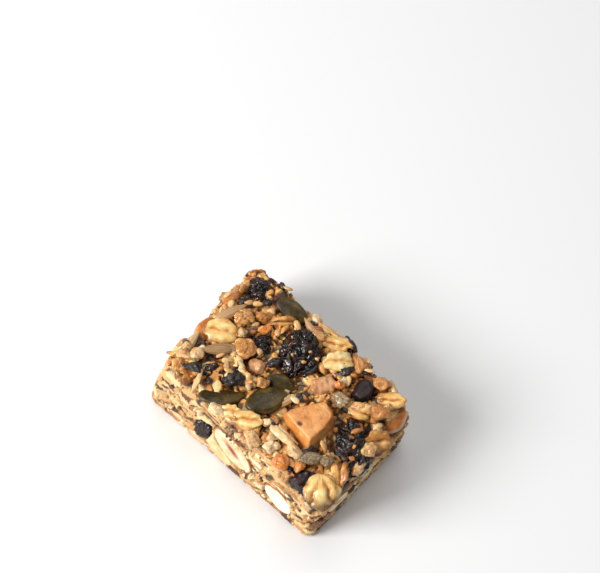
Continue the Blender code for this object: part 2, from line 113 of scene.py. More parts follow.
def hashed(cells, seed):
    """Three even random numbers from 0 to 1 for each whole-number cell, by mixing its bits."""
    mixed = cells.astype(np.int64) @ np.array([73856093, 19349663, 83492791]) + seed * 9781
    numbers = []
    for salt in (0x9E3779B1, 0x85EBCA77, 0xC2B2AE3D):
        value = (mixed * salt) & 0xFFFFFFFF
        value = ((value ^ (value >> 15)) * 0x2C1B3C6D) & 0xFFFFFFFF
        value = ((value ^ (value >> 12)) * 0x297A2D39) & 0xFFFFFFFF
        numbers.append((value ^ (value >> 15)) / 0x100000000)
    return np.stack(numbers, axis=1)


def pile(points, outward, pitch, seed, highest, lying=0.0, shape=(0.66, 0.54, 0.42)):
    """A heap of hewn crumbs, seen along the outward direction: one egg-shaped crumb, turned at
    random and cut off by four planes, around a random point in each cell of a lattice of this
    pitch, with its thin way nearer upright by lying. Crumbs whose middles lie above highest, as a
    share of pitch, are left out. In a crumb's own scaled axes the line o + t n leaves the egg where
    |o + t n| = 1, and a cut where m . (o + t n) = k. Gives the highest t over the crumbs near by,
    as a share of pitch, the random numbers of that crumb, and how far it stands clear of the next
    one and of its own edge."""
    cuts = np.array([[0.62, 0.5, 0.6], [-0.7, 0.42, 0.58], [0.15, -0.88, 0.45], [-0.1, 0.1, -0.99]])
    scaled = points / pitch
    cell = np.floor(scaled)
    top = np.full(len(points), -9.0)
    second = np.full(len(points), -9.0)
    depth = np.zeros(len(points))
    own = np.zeros((len(points), 3))
    for step in itertools.product((-1, 0, 1), repeat=3):
        here = cell + step
        gap = scaled - here - hashed(here, seed)
        turn = hashed(here, seed + 1)
        size = hashed(here, seed + 2)
        thin = turn - 0.5
        thin[:, 2] += lying * np.sign(thin[:, 2])
        thin /= np.linalg.norm(thin, axis=1, keepdims=True)
        broad = size - 0.5
        broad -= thin * np.einsum("ni,ni->n", broad, thin)[:, None]
        broad /= np.linalg.norm(broad, axis=1, keepdims=True)
        axes = np.stack([broad, np.cross(thin, broad), thin], axis=1)
        radii = np.array(shape) * (0.7 + 0.5 * size)
        start = np.einsum("nki,ni->nk", axes, gap) / radii
        along = np.einsum("nki,ni->nk", axes, outward) / radii
        steep = (along**2).sum(axis=1)
        lean = (start * along).sum(axis=1)
        inside = lean**2 - steep * ((start**2).sum(axis=1) - 1)
        root = np.sqrt(np.maximum(inside, 0))
        leave = (root - lean) / steep
        enter = (-root - lean) / steep
        for number, cut in enumerate(cuts):
            rate = along @ cut
            rate = np.where(np.abs(rate) < 1e-6, 1e-6, rate)
            crossing = (0.45 + 0.4 * turn[:, number % 3] - start @ cut) / rate
            leave = np.where(rate > 0, np.minimum(leave, crossing), leave)
            enter = np.where(rate < 0, np.maximum(enter, crossing), enter)
        kept = -(gap * outward).sum(axis=1) < highest
        height = np.where(kept & (inside > 0) & (leave > enter), leave, -9.0)
        higher = height > top
        second = np.where(higher, top, np.maximum(second, height))
        depth = np.where(higher, leave - enter, depth)
        top = np.where(higher, height, top)
        own[higher] = hashed(here, seed + 3)[higher]
    return top, own, np.minimum(top - second, depth)


def new_piece(name, points, faces, surface, sharp=None, **fields):
    """A smooth mesh object from an (n, 3) array of points and a list of arrays of faces, with one
    float or vector attribute for each field. Edges bent by more than sharp degrees stay crisp."""
    corners = np.concatenate([part.ravel() for part in faces])
    counts = np.concatenate([np.full(len(part), part.shape[1]) for part in faces])
    mesh = bpy.data.meshes.new(name)
    mesh.vertices.add(len(points))
    mesh.vertices.foreach_set("co", np.asarray(points, np.float32).ravel())
    mesh.loops.add(len(corners))
    mesh.loops.foreach_set("vertex_index", corners.astype(np.int32))
    mesh.polygons.add(len(counts))
    mesh.polygons.foreach_set("loop_start", (np.cumsum(counts) - counts).astype(np.int32))
    mesh.update(calc_edges=True)
    mesh.shade_smooth()
    if sharp:
        mesh.set_sharp_from_angle(angle=math.radians(sharp))
    for field, values in fields.items():
        flat = values.ndim == 1
        stored = mesh.attributes.new(field, "FLOAT" if flat else "FLOAT_VECTOR", "POINT")
        stored.data.foreach_set("value" if flat else "vector", np.asarray(values, np.float32).ravel())
    mesh.materials.append(surface)
    piece = bpy.data.objects.new(name, mesh)
    bpy.context.scene.collection.objects.link(piece)
    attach(piece, "root")
    return piece


def linear(colour):
    """The linear RGBA of an sRGB hex colour: each channel c becomes ((c + 0.055) / 1.055) ** 2.4,
    or c / 12.92 where it is dark."""
    channels = [int(colour[place : place + 2], 16) / 255 for place in (1, 3, 5)]
    light = [((c + 0.055) / 1.055) ** 2.4 if c > 0.04045 else c / 12.92 for c in channels]
    return (*light, 1.0)


def feed(node, inputs):
    """Fills a node's sockets: inputs maps each one to a value, to a hex colour or to the output
    that feeds it."""
    for socket, value in dict(inputs).items():
        if isinstance(value, bpy.types.NodeSocket):
            node.id_data.links.new(value, node.inputs[socket])
        elif isinstance(value, str):
            node.inputs[socket].default_value = linear(value)
        else:
            node.inputs[socket].default_value = value


def add(tree, kind, inputs=(), stops=(), **settings):
    """Adds a node of this kind with its settings and fills its sockets. stops are a colour ramp's
    (place, hex colour)."""
    node = tree.nodes.new("ShaderNode" + kind)
    for name, value in settings.items():
        setattr(node, name, value)
    feed(node, inputs)
    for number, (place, colour) in enumerate(stops):
        ramp = node.color_ramp.elements
        stop = ramp[number] if number < 2 else ramp.new(place)
        stop.position = place
        stop.color = linear(colour)
    return node


def new_surface(name):
    """A new material's node tree and its Principled shader."""
    material = bpy.data.materials.new(name)
    material.use_nodes = True
    return material, material.node_tree, material.node_tree.nodes["Principled BSDF"]


# Syrup-glazed crumb: pressed grain in caramelised syrup. Each crumb has its own toasted colour,
# the syrup in the joints between them is darker, and painted shade darkens those joints and the
# sunken gaps. Chocolate smears streak it where the knife went through, and the gloss comes and goes
# with the glaze.
mix_surface, tree, shader = new_surface("syrup_glazed_crumb")
grain, joint, knife, smear, gap, crust = [
    add(tree, "Attribute", attribute_name=name).outputs["Fac"]
    for name in ("grain", "joint", "knife", "smear", "gap", "crust")
]
place = add(tree, "TexCoord").outputs["Object"]
speckle = add(tree, "TexNoise", {"Vector": place, "Scale": 1 / (0.45 * MM), "Detail": 4.0})
patch = add(tree, "TexNoise", {"Vector": place, "Scale": 1 / (3 * MM), "Detail": 3.0})
top_crumb = add(
    tree, "ValToRGB", {"Fac": grain},
    [
        (0.0, "#3a1c0e"), (0.1, "#84451c"), (0.3, "#c27630"), (0.5, "#df984b"), (0.68, "#e9ab60"),
        (0.82, "#f3c67b"), (0.92, "#f8dc9f"), (1.0, "#bd946a"),
    ],
)
cut_crumb = add(
    tree, "ValToRGB", {"Fac": grain},
    [
        (0.0, "#3a2420"), (0.08, "#6b4634"), (0.14, "#bd8a58"), (0.38, "#d9a76d"), (0.62, "#e8bf86"),
        (0.85, "#f4d7a3"), (1.0, "#faeaca"),
    ],
)
crumb = add(tree, "Mix", {0: knife, 6: top_crumb.outputs[0], 7: cut_crumb.outputs[0]}, data_type="RGBA")
mottled = add(
    tree, "Mix", {0: 0.6, 6: crumb.outputs[2], 7: speckle.outputs["Fac"]}, data_type="RGBA",
    blend_type="SOFT_LIGHT",
)
dark = add(tree, "MapRange", {"Value": joint, "From Max": 0.16, "To Min": 0.75, "To Max": 0.0})
colour = mottled.outputs[2]
# Syrup and painted shade in the joints, painted shade in the gaps, dragged chocolate, and the crust
# at the foot.
for share, wash in (
    (dark.outputs[0], "#52301c"), (gap, "#2a150b"), (smear, "#33211d"), (crust, "#8f5b36"),
):
    colour = add(tree, "Mix", {0: share, 6: colour, 7: wash}, data_type="RGBA").outputs[2]
gloss = add(
    tree, "MapRange",
    {"Value": patch.outputs["Fac"], "From Min": 0.4, "From Max": 0.6, "To Min": 0.14, "To Max": 0.5},
)
matt = add(tree, "Mix", {0: knife, 2: gloss.outputs[0], 3: 0.65})
grit = add(tree, "Bump", {"Height": speckle.outputs["Fac"], "Strength": 0.8, "Distance": 0.25 * MM})
feed(
    shader,
    {
        "Base Color": colour, "Roughness": matt.outputs[0], "Normal": grit.outputs[0],
        "Subsurface Weight": 0.35, "Subsurface Radius": (1.0, 0.5, 0.25), "Subsurface Scale": 1.0 * MM,
    },
)


def slab_grid(pitch):
    """Points and faces of the plain box: a grid on top, rows down the sides that start from the
    grid's rim, and one many-sided face for the base."""
    columns, rows, storeys = (np.ceil(2 * SLAB_HALF / pitch)).astype(int)
    i, j = np.meshgrid(np.arange(columns + 1), np.arange(rows + 1), indexing="ij")
    x = (i / columns * 2 - 1) * SLAB_HALF[0]
    y = (j / rows * 2 - 1) * SLAB_HALF[1]
    top = np.stack([x.ravel(), y.ravel(), np.full(x.size, HEIGHT)], axis=1)
    index = i * (rows + 1) + j
    rim = np.concatenate([index[:-1, 0], index[-1, :-1], index[:0:-1, -1], index[0, :0:-1]])
    down = np.arange(1, storeys + 1)
    sides = np.repeat(top[rim][None], storeys, axis=0)
    sides[:, :, 2] = (HEIGHT * (1 - down / storeys))[:, None]
    ring = np.vstack([rim, len(top) + np.arange(storeys * len(rim)).reshape(storeys, -1)])
    after = np.roll(ring, -1, axis=1)
    walls = np.stack([ring[:-1], ring[1:], after[1:], after[:-1]], axis=-1).reshape(-1, 4)
    lid = np.stack([index[:-1, :-1], index[1:, :-1], index[1:, 1:], index[:-1, 1:]], axis=-1)
    points = np.vstack([top, sides.reshape(-1, 3)])
    return points, [lid.reshape(-1, 4), walls, ring[-1][::-1][None]]


TOPPINGS = [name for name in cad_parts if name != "baked_mix"]


FARTHEST_GAP = 4 * MM
BELOW_TOPPING = 6 * MM  # a topping lies no more than this above or below a point that it covers


def topping_gaps(points, outward):
    """How far each point is from the nearest topping, seen along its outward direction, up to the
    farthest gap. A topping is taken as its surface points and the same points drawn in to its
    middle."""
    gaps = np.full(len(points), FARTHEST_GAP)
    for name in TOPPINGS:
        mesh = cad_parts[name].data
        corners = np.empty(3 * len(mesh.vertices))
        mesh.vertices.foreach_get("co", corners)
        middles = np.empty(3 * len(mesh.polygons))
        mesh.polygons.foreach_get("center", middles)
        spots = np.vstack([corners.reshape(-1, 3), middles.reshape(-1, 3)])
        core = spots.mean(axis=0)
        spots = np.vstack([core + share * (spots - core) for share in (0.25, 0.5, 0.75, 1.0)])
        low, high = spots.min(axis=0) - FARTHEST_GAP, spots.max(axis=0) + FARTHEST_GAP
        near = np.flatnonzero(((points > low) & (points < high)).all(axis=1))
        for part in np.array_split(near, len(near) // 2000 + 1):
            step = spots[None] - points[part, None]
            height = np.einsum("nmi,ni->nm", step, outward[part])
            aside = np.sqrt(np.maximum((step**2).sum(axis=2) - height**2, 0))
            closest = np.where(np.abs(height) < BELOW_TOPPING, aside, 1.0).min(axis=1, initial=1.0)
            gaps[part] = np.minimum(gaps[part], closest)
    return gaps


MIX_PITCH = 0.26 * MM  # spacing of the mesh, fine enough for a crumb of about 1 mm
plain, mix_faces = slab_grid(MIX_PITCH)
placed, outward = slab_surface(plain)
shift = np.stack([waves(placed, 30 + axis, 2 * MM, 6 * MM) for axis in range(3)], axis=1)
bent = placed + 0.35 * MM * shift
side_share = 1 - np.clip(outward[:, 2] * 2.2 - 0.3 + 0.25 * shift[:, 0], 0, 1)
flat_shape = (0.62, 0.48, 0.15)
press = np.array([0.75, 0.75, 1.35])  # draws the crumbs out level and thins them, as packed layers
# The heaps of the top and the layers of the cut sides, coarse crumbs, fine ones and flat flakes:
# their pitch and how far each is sunk, both in mm, and the heap itself.
heaps = (
    (3.3, 1.3, pile(bent, outward, 3.3 * MM, 21, 0.3)),
    (1.6, 0.5, pile(bent, outward, 1.6 * MM, 25, 0.3)),
    (5.4, 0.4, pile(bent, outward, 5.4 * MM, 51, 0.0, 0.9, flat_shape)),
)
layers = (
    (3.3, 0.0, pile(bent * press, outward, 3.3 * MM, 29, 0.5, 0.5)), (1.6, 0.0, heaps[1][2]),
    (6.0, 0.5, pile(bent * press, outward, 6.0 * MM, 55, 0.2, 0.9, flat_shape)),
)


def uppermost(heaps):
    """The highest of several heaps at each point, from their pitches and how far each is sunk, in
    mm: its height in mm, its crumb's random numbers and how clear that crumb stands."""
    heights = np.stack([pitch * heap[0] - sunk for pitch, sunk, heap in heaps])
    which = heights.argmax(axis=0)
    owns = np.stack([heap[1] for _, _, heap in heaps])
    leads = np.stack([heap[2] for _, _, heap in heaps])
    every = np.arange(len(which))
    return heights.max(axis=0), owns[which, every], leads[which, every]


rough, rough_own, rough_lead = uppermost(heaps)
sawn, sawn_own, sawn_lead = uppermost(layers)
sawn = np.clip(sawn, -0.7, 0.1) + 0.3 * (sawn_own[:, 1] - 0.5)
# The flesh of the large sliced nut goes on below its solid half, level with the cut, and chocolate
# is dragged across the side beside it.
facing_front = outward[:, 1] < -0.6
flesh = np.linalg.norm((placed[:, [0, 2]] / MM - [-2.8, 5.2]) / [5.0, 4.4], axis=1)
flesh = np.clip((1.05 - flesh + 0.1 * shift[:, 2]) * 7, 0, 1) * facing_front
drag = placed[:, [0, 2]] / MM - [-7.6, 6.0]
drag_share = np.abs(drag @ [0.81, 0.58]) + 0.05 * (drag @ [0.58, -0.81]) ** 2 + 0.7 * shift[:, 0]
drag_share = np.clip((2.0 - drag_share) * 1.5, 0, 0.95) * facing_front * (1 - flesh)
sawn = (1 - flesh) * sawn + flesh * -0.05
# Round each topping the cut sides sink to a narrow seam, which the gap colour paints dark as shade,
# and the crumb of the top stays low.
SEAM_REACH, SEAM_DEPTH = 0.45 * MM, 1.3
gaps = topping_gaps(placed, outward)
socket = np.clip((SEAM_REACH - gaps) / (0.3 * MM), 0, 1)
sawn = (1 - socket) * sawn - SEAM_DEPTH * socket
under = np.clip((1.5 * MM - gaps) / (0.7 * MM), 0, 1)
rough = np.clip(rough, -1.2 + 0.3 * shift[:, 1], 1.0)
rough = (1 - under) * rough + under * np.minimum(rough, -0.3)
rise = (1 - side_share) * rough + side_share * sawn
rise += 0.07 * waves(placed, 24, 0.6 * MM, 1.4 * MM)
rise *= np.clip(placed[:, 2] / (1.2 * MM), 0, 1)
on_side = side_share > 0.5
own = np.where(on_side[:, None], sawn_own, rough_own)
lead = np.where(on_side, sawn_lead, rough_lead)
streak = waves(bent * np.array([0.5, 0.5, 1.3]), 41, 5 * MM, 12 * MM)
breaks = waves(placed, 42, 3 * MM, 8 * MM)
lead = lead + side_share * np.clip(0.25 * breaks, -0.1, 0.2)
streaked = np.clip((0.2 - np.abs(streak)) * 12, 0, 1)
smeared_share = np.clip(breaks * 3 + 0.3, 0, 0.92)
# Painted shade: the gap attribute darkens the mix where it sinks, and the crease attribute darkens the
# joints between crumbs, partly syrup and partly painted shade.
mix = new_piece(
    "syrup_and_crumb", placed + outward * (rise * MM)[:, None], mix_faces, mix_surface,
    grain=(1 - flesh) * own[:, 0] + flesh * (0.72 + 0.15 * shift[:, 1]), joint=lead + flesh,
    gap=np.clip((-rise - 0.25) / 1.1, 0, 0.9), knife=side_share,
    crust=np.clip(0.75 - placed[:, 2] / (2.6 * MM) + 0.2 * shift[:, 1], 0, 0.6),
    smear=np.maximum(drag_share, (1 - flesh) * streaked * smeared_share),
)
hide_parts("baked_mix")


# --- Rolled oats ----------------------------------------------------------------------------------
# Oat groats, steamed and rolled into thin ovals of 5 to 10 mm, each with the groove of the grain
# along it. The syrup glues them to the top at all angles. Those that the knife went through are
# part of the mix.


def unit_ball(rings, segments):
    """Directions of a ball: a top pole, rings of segments points, and a bottom pole, as (n, 3)."""
    fall = np.repeat(np.arange(1, rings + 1) * math.pi / (rings + 1), segments)
    turn = np.tile(np.arange(segments) * 2 * math.pi / segments, rings)
    rounds = np.stack([np.sin(fall) * np.cos(turn), np.sin(fall) * np.sin(turn), np.cos(fall)], axis=1)
    return np.vstack([[[0, 0, 1]], rounds, [[0, 0, -1]]])


def ball_faces(count, rings, segments):
    """The faces of count such balls, whose points follow each other."""
    ring, spoke = np.meshgrid(np.arange(rings - 1), np.arange(segments), indexing="ij")
    here = 1 + ring * segments + spoke
    beside = 1 + ring * segments + (spoke + 1) % segments
    quads = np.stack([here, here + segments, beside + segments, beside], axis=-1).reshape(-1, 4)
    spoke = np.arange(segments)
    beside = (spoke + 1) % segments
    last = 1 + (rings - 1) * segments
    cap = np.stack([0 * spoke, 1 + spoke, 1 + beside], axis=1)
    heel = np.stack([0 * spoke + last + segments, last + beside, last + spoke], axis=1)
    step = (np.arange(count) * (2 + rings * segments))[:, None, None]
    return [(quads + step).reshape(-1, 4), (np.vstack([cap, heel]) + step).reshape(-1, 3)]


def turns(angles):
    """Rotation matrices, (n, 3, 3), from rows of (turn, tilt, roll) in degrees: a roll about the
    length, then a lift of the +X end by tilt, then a turn in plan."""
    turn, tilt, roll = np.radians(np.asarray(angles, float)).T
    zero, one = np.zeros_like(turn), np.ones_like(turn)

    def matrix(*rows):
        return np.array(rows).transpose(2, 0, 1)

    about_z = matrix(
        (np.cos(turn), -np.sin(turn), zero), (np.sin(turn), np.cos(turn), zero), (zero, zero, one)
    )
    about_y = matrix(
        (np.cos(tilt), zero, -np.sin(tilt)), (zero, one, zero), (np.sin(tilt), zero, np.cos(tilt))
    )
    about_x = matrix(
        (one, zero, zero), (zero, np.cos(roll), -np.sin(roll)), (zero, np.sin(roll), np.cos(roll))
    )
    return about_z @ about_y @ about_x


def top_frames(outward):
    """Frames on the top, (n, 3, 3): X along the slab, and Z outward."""
    along = np.array([1.0, 0, 0]) - outward * outward[:, 0:1]
    along /= np.linalg.norm(along, axis=1, keepdims=True)
    return np.stack([along, np.cross(outward, along), outward], axis=2)


def scattered(face, count, spacing, reach, seed):
    """Up to count seeded places on one face of the slab, at least spacing apart and clear of the
    toppings, with their outward directions."""
    rng = np.random.default_rng(seed)
    tries = 6 * count
    u, v = rng.uniform(-1, 1, (2, tries))
    across = SLAB_HALF[1] if face in ("right", "left") else SLAB_HALF[0]
    flat = np.ones(tries)
    up = (v + 1) * SLAB_HALF[2]
    plain = {
        "top": np.stack([u * across, v * SLAB_HALF[1], 2 * SLAB_HALF[2] * flat], axis=1),
        "front": np.stack([u * across, -SLAB_HALF[1] * flat, up], axis=1),
        "right": np.stack([SLAB_HALF[0] * flat, u * across, up], axis=1),
        "back": np.stack([-u * across, SLAB_HALF[1] * flat, up], axis=1),
        "left": np.stack([-SLAB_HALF[0] * flat, -u * across, up], axis=1),
    }[face]
    points, outward = slab_surface(plain)
    kept = []
    for number in np.flatnonzero(topping_gaps(points, outward) > reach):
        gaps = np.linalg.norm(points[kept] - points[number], axis=1)
        if len(kept) < count and (gaps > spacing).all():
            kept.append(number)
    return points[kept], outward[kept]


def flake_forms(ball, sizes, seed, torn=0.07, cup=0.08, groove=0.0, crumple=0.0):
    """Thin torn ovals, (n, m, 3), one of each row of (length, width, thickness), and how far each
    point stands up from its flake's middle layer, about -1 to 1. The ball is pressed flat, eight
    cosine waves round its outline tear it, and its middle is bent along and across by shares of
    its size. groove sinks a wandering crease along the length, swells the two lobes beside it and
    adds ridges, and crumple buckles the flake, both as depths."""
    rng = np.random.default_rng(seed)
    count = len(sizes)
    half = np.asarray(sizes)[:, None, :] / 2
    angle = np.arctan2(ball[:, 1], ball[:, 0])[None]
    outline = np.ones((count, len(ball)))
    for lobes in range(2, 10):
        size = rng.normal(0, torn / math.sqrt(lobes), (count, 1))
        outline += size * np.cos(lobes * angle + rng.uniform(0, 2 * math.pi, (count, 1)))
    x = ball[:, 0] * outline
    y = ball[:, 1] * outline
    full = np.sign(ball[:, 2]) * np.abs(ball[:, 2]) ** 0.6 + 0 * x
    bend = rng.normal(0, cup, (count, 3, 1)) * half[:, :, 0:1].mean(axis=1, keepdims=True)
    start = rng.uniform(0, 2 * math.pi, (count, 1))
    aside = y - 0.16 * np.sin(2.2 * x + start) - 0.05 * np.sin(7 * x + 2 * start)
    crease = np.exp(-((aside / 0.13) ** 2)) * np.clip(1.1 - x**2, 0, 1)
    lobe = np.sin(np.minimum(np.abs(aside), 1) * math.pi) * np.clip(1 - x**2, 0, 1)
    ridges = np.sin(aside * 9 + 1.5 * np.sin(4 * x + start)) * (1 - crease)
    flat = np.stack([x, y, 0 * x + np.arange(count)[:, None]], axis=2) * half
    buckle = waves(flat.reshape(-1, 3), seed, 1.0 * MM, 3.4 * MM, 24).reshape(count, -1)
    relief = 0.5 * lobe - crease + 0.12 * ridges
    lift = bend[:, 0] * x**2 + bend[:, 1] * y**2 + bend[:, 2] * x * y
    lift += groove * relief + crumple * buckle
    shapes = np.stack([x, y, full], axis=2) * half + np.stack([0 * lift, 0 * lift, lift], axis=2)
    return shapes, np.clip((groove > 0) * relief + 0.5 * buckle, -1, 1)


def sliced_flush(shapes, depth):
    """Cuts shapes whose Y points into the slab at the cut side, depth in front of their centres:
    points beyond it are pulled towards the centre until they lie on it. Gives the shapes and where
    they were cut."""
    depth = np.broadcast_to(np.asarray(depth, float).reshape(-1, 1), shapes.shape[:2])
    beyond = -shapes[:, :, 1] > depth
    pull = np.where(beyond, depth / np.maximum(-shapes[:, :, 1], 1e-9), 1.0)
    return shapes * pull[:, :, None], beyond.astype(float)


def laid(shapes, frames, centres):
    """The shapes turned by their frames and moved to their centres, as one (n, 3) array."""
    return (np.einsum("nij,nmj->nmi", frames, shapes) + centres[:, None]).reshape(-1, 3)


def own_fields(shapes, seed):
    """Attributes of a piece made of many shapes: each one's random tint, its points' distance
    from the middle as a share, and their places in it in mm, moved apart from shape to shape."""
    rng = np.random.default_rng(seed)
    count, size = shapes.shape[:2]
    reach = np.abs(shapes[:, :, :2]).max(axis=1, keepdims=True)
    return {
        "tint": np.repeat(rng.uniform(0, 1, count), size),
        "rim": np.linalg.norm(shapes[:, :, :2] / reach, axis=2).ravel(),
        "own": (shapes / MM + rng.uniform(0, 99, (count, 1, 3))).reshape(-1, 3),
    }


# Baked oat: papery, pale gold to tan, browner at the torn rim, with fine fibres along it and a thin
# coat of syrup. It is darker in its creases and paler on its raised lobes, partly the groove's own
# brown and partly painted shade and light, and darker where the flake meets the mix, where the syrup
# pools and shade is painted. The own attribute is in mm, here and below, so a pattern's scale is 1
# over its size in mm.
oat_material, tree, shader = new_surface("syrup_glazed_oat")
tint, rim, relief, foot = [
    add(tree, "Attribute", attribute_name=name).outputs["Fac"]
    for name in ("tint", "rim", "relief", "foot")
]
own = add(tree, "Attribute", attribute_name="own").outputs["Vector"]
fibre_place = add(tree, "Mapping", {"Vector": own, "Scale": (0.35, 2.2, 1.5)})
fibres = add(tree, "TexNoise", {"Vector": fibre_place.outputs[0], "Scale": 1.3, "Detail": 5.0})
blotch = add(tree, "TexNoise", {"Vector": own, "Scale": 0.6, "Detail": 4.0, "Roughness": 0.65})
# Painted shade and light: the relief darkens the creases and hollows and lightens the raised lobes, on top
# of each flake's toast.
height = add(tree, "Math", {0: relief, 1: 0.38, 2: tint}, operation="MULTIPLY_ADD")
toast_and_shade = add(
    tree, "Math", {0: blotch.outputs["Fac"], 1: 1.3, 2: height.outputs[0]}, operation="MULTIPLY_ADD"
)
toast_and_shade = add(tree, "MapRange", {"Value": toast_and_shade.outputs[0], "From Min": 0.5, "From Max": 1.8})
skin = add(
    tree, "ValToRGB", {"Fac": toast_and_shade.outputs[0]},
    [
        (0.0, "#6b3c1a"), (0.2, "#a9682f"), (0.4, "#cf8b40"), (0.6, "#e9b163"), (0.8, "#f5c97b"),
        (1.0, "#fce3a6"),
    ],
)
rim_share = add(tree, "MapRange", {"Value": rim, "From Min": 0.8, "From Max": 1.05, "To Max": 0.45})
rimmed = add(tree, "Mix", {0: rim_share.outputs[0], 6: skin.outputs[0], 7: "#a8672c"}, data_type="RGBA")
# Painted shade towards the foot, where the flake meets the mix, as well as pooled syrup.
pooled_and_shaded = add(tree, "Mix", {0: foot, 6: rimmed.outputs[2], 7: "#5f3818"}, data_type="RGBA")
fibrous = add(
    tree, "Mix", {0: 0.6, 6: pooled_and_shaded.outputs[2], 7: fibres.outputs["Fac"]}, data_type="RGBA",
    blend_type="SOFT_LIGHT",
)
grooves = add(tree, "Bump", {"Height": fibres.outputs["Fac"], "Strength": 0.8, "Distance": 0.25 * MM})
feed(
    shader,
    {
        "Base Color": fibrous.outputs[2], "Normal": grooves.outputs[0], "Roughness": 0.42,
        "Subsurface Weight": 0.3, "Subsurface Radius": (1.0, 0.55, 0.25), "Subsurface Scale": 0.9 * MM,
        "Coat Weight": 0.5, "Coat Roughness": 0.15,
    },
)

# The whole flakes that stand out on top, in mm and degrees: (x, y, height above the slab),
# (length, width, thickness), (turn, tilt, roll), and the tint from tan to pale.
WHOLE_OATS = (
    ((-20.6, -2.2, 1.2), (8.2, 6.8, 1.3), (42, 4, 8), 0.75),
    ((1.5, 16.0, 1.0), (7.8, 4.3, 1.2), (32, 6, 10), 0.6),
    ((5.2, 12.4, 1.4), (7.8, 5.2, 1.5), (56, -4, 10), 0.95),
    ((-0.2, 17.2, 0.7), (10.0, 2.6, 1.4), (6, 0, 0), 0.45),
    ((-0.4, -14.6, 1.0), (7.8, 4.3, 1.3), (41, 6, 14), 0.7),
    ((-4.8, -15.8, 0.6), (4.9, 3.5, 1.2), (32, 0, 8), 0.8),
    ((23.2, -10.6, 0.7), (7.1, 4.2, 1.2), (-37, -4, 24), 0.4),
    ((24.6, -9.0, 0.5), (6.4, 4.0, 1.2), (-60, -10, 30), 0.2),
    ((25.4, 4.0, -0.4), (7.4, 6.4, 1.3), (66, 0, 26), 0.35),
    ((20.8, 13.9, 1.1), (7.8, 4.2, 1.3), (36, 12, 0), 0.55),
    ((-12.0, 10.6, 0.9), (8.2, 2.6, 1.2), (46, 6, 10), 0.35),
    ((-13.4, -1.2, 0.8), (5.8, 5.4, 1.3), (24, 0, 6), 0.3),
    ((17.6, 6.4, 1.2), (6.4, 4.0, 1.4), (24, 0, 20), 0.5),
)
OAT_ROUNDS = (24, 72)
OAT_BALL = unit_ball(*OAT_ROUNDS)
SMALL_ROUNDS = (9, 20)
SMALL_BALL = unit_ball(*SMALL_ROUNDS)


def on_top(places):
    """The points that lie the third number, in mm, above the slab at each (x, y), and their
    outward directions."""
    rows = np.asarray(places, float) * MM
    share = np.clip(rows[:, :2] / SLAB_HALF[:2], -1, 1)
    points, outward = slab_surface(np.column_stack([share * SLAB_HALF[:2], np.full(len(rows), HEIGHT)]))
    return np.column_stack([rows[:, :2], points[:, 2] + rows[:, 2]]), outward


def fused(name, shapes, frames, centres, faces, surface, seed, sharp=None, **extra):
    """A piece of many shapes that stands for part of the baked mix, darker towards its foot, where
    the syrup pools and shade is painted. faces is the rings and segments of each shape's ball."""
    points = laid(shapes, frames, centres)
    up = points[:, 2].reshape(len(shapes), -1) - centres[:, 2:3]
    foot = 0.25 - up / np.abs(up).max(axis=1, keepdims=True)
    fields = own_fields(shapes, seed)
    fields["foot"] = np.clip(foot, 0, 0.8).ravel()
    fields.update(extra)
    points[:, 2] = np.maximum(points[:, 2], 0.05 * MM)
    piece = new_piece(name, points, ball_faces(len(shapes), *faces), surface, sharp, **fields)
    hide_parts("baked_mix")


whole_places, _ = on_top([row[0] for row in WHOLE_OATS])
whole_forms, whole_relief = flake_forms(
    OAT_BALL, np.array([row[1] for row in WHOLE_OATS]) * MM, seed=67, torn=0.09, cup=0.16,
    groove=0.34 * MM, crumple=0.08 * MM,
)
fused(
    "whole_oats", whole_forms, turns([row[2] for row in WHOLE_OATS]), whole_places, OAT_ROUNDS,
    oat_material, 62, tint=np.repeat([row[3] for row in WHOLE_OATS], len(OAT_BALL)),
    relief=whole_relief.ravel(),
)


def fanned(ball, size, ribs, depth):
    """An oat cracked open like a fan, (1, m, 3), and its relief: the ball pressed flat, with ridges
    of this depth that spread from its -X end, ribs of them to a full turn, and a scalloped rim."""
    reach = np.hypot(ball[:, 0] + 1.1, ball[:, 1])
    spread = np.arctan2(ball[:, 1], ball[:, 0] + 1.1) + 0.09 * waves(ball, 65, 0.6, 1.6)
    ridge = (np.abs(np.cos(ribs / 2 * spread)) ** 0.6 * 2 - 1.2) * np.clip(reach - 0.2, 0, 1)
    rim = 1 + 0.06 * ridge
    full = np.sign(ball[:, 2]) * np.abs(ball[:, 2]) ** 0.6
    form = np.stack([ball[:, 0] * rim, ball[:, 1] * rim, full], axis=1) * np.array(size) * MM / 2
    crumple = waves(ball, 66, 0.5, 1.4)
    form[:, 2] += MM * (depth * ridge + 0.15 * crumple - 0.9 * (ball[:, 0] ** 2 + ball[:, 1] ** 2))
    form[:, :2] *= (1 + 0.08 * crumple)[:, None]
    return form[None], ridge + 0.3 * crumple


# The flake at the near corner, cracked open like a fan and hanging over the edge.
corner_place, _ = on_top([(24.4, -15.4, 0.9)])
corner_form, corner_relief = fanned(OAT_BALL, (8.4, 8.8, 1.2), 10, 0.5)
fused(
    "corner_oat", corner_form, turns([(-44, -22, 0)]), corner_place, OAT_ROUNDS, oat_material, 64,
    tint=np.full(len(OAT_BALL), 0.7), relief=corner_relief,
)

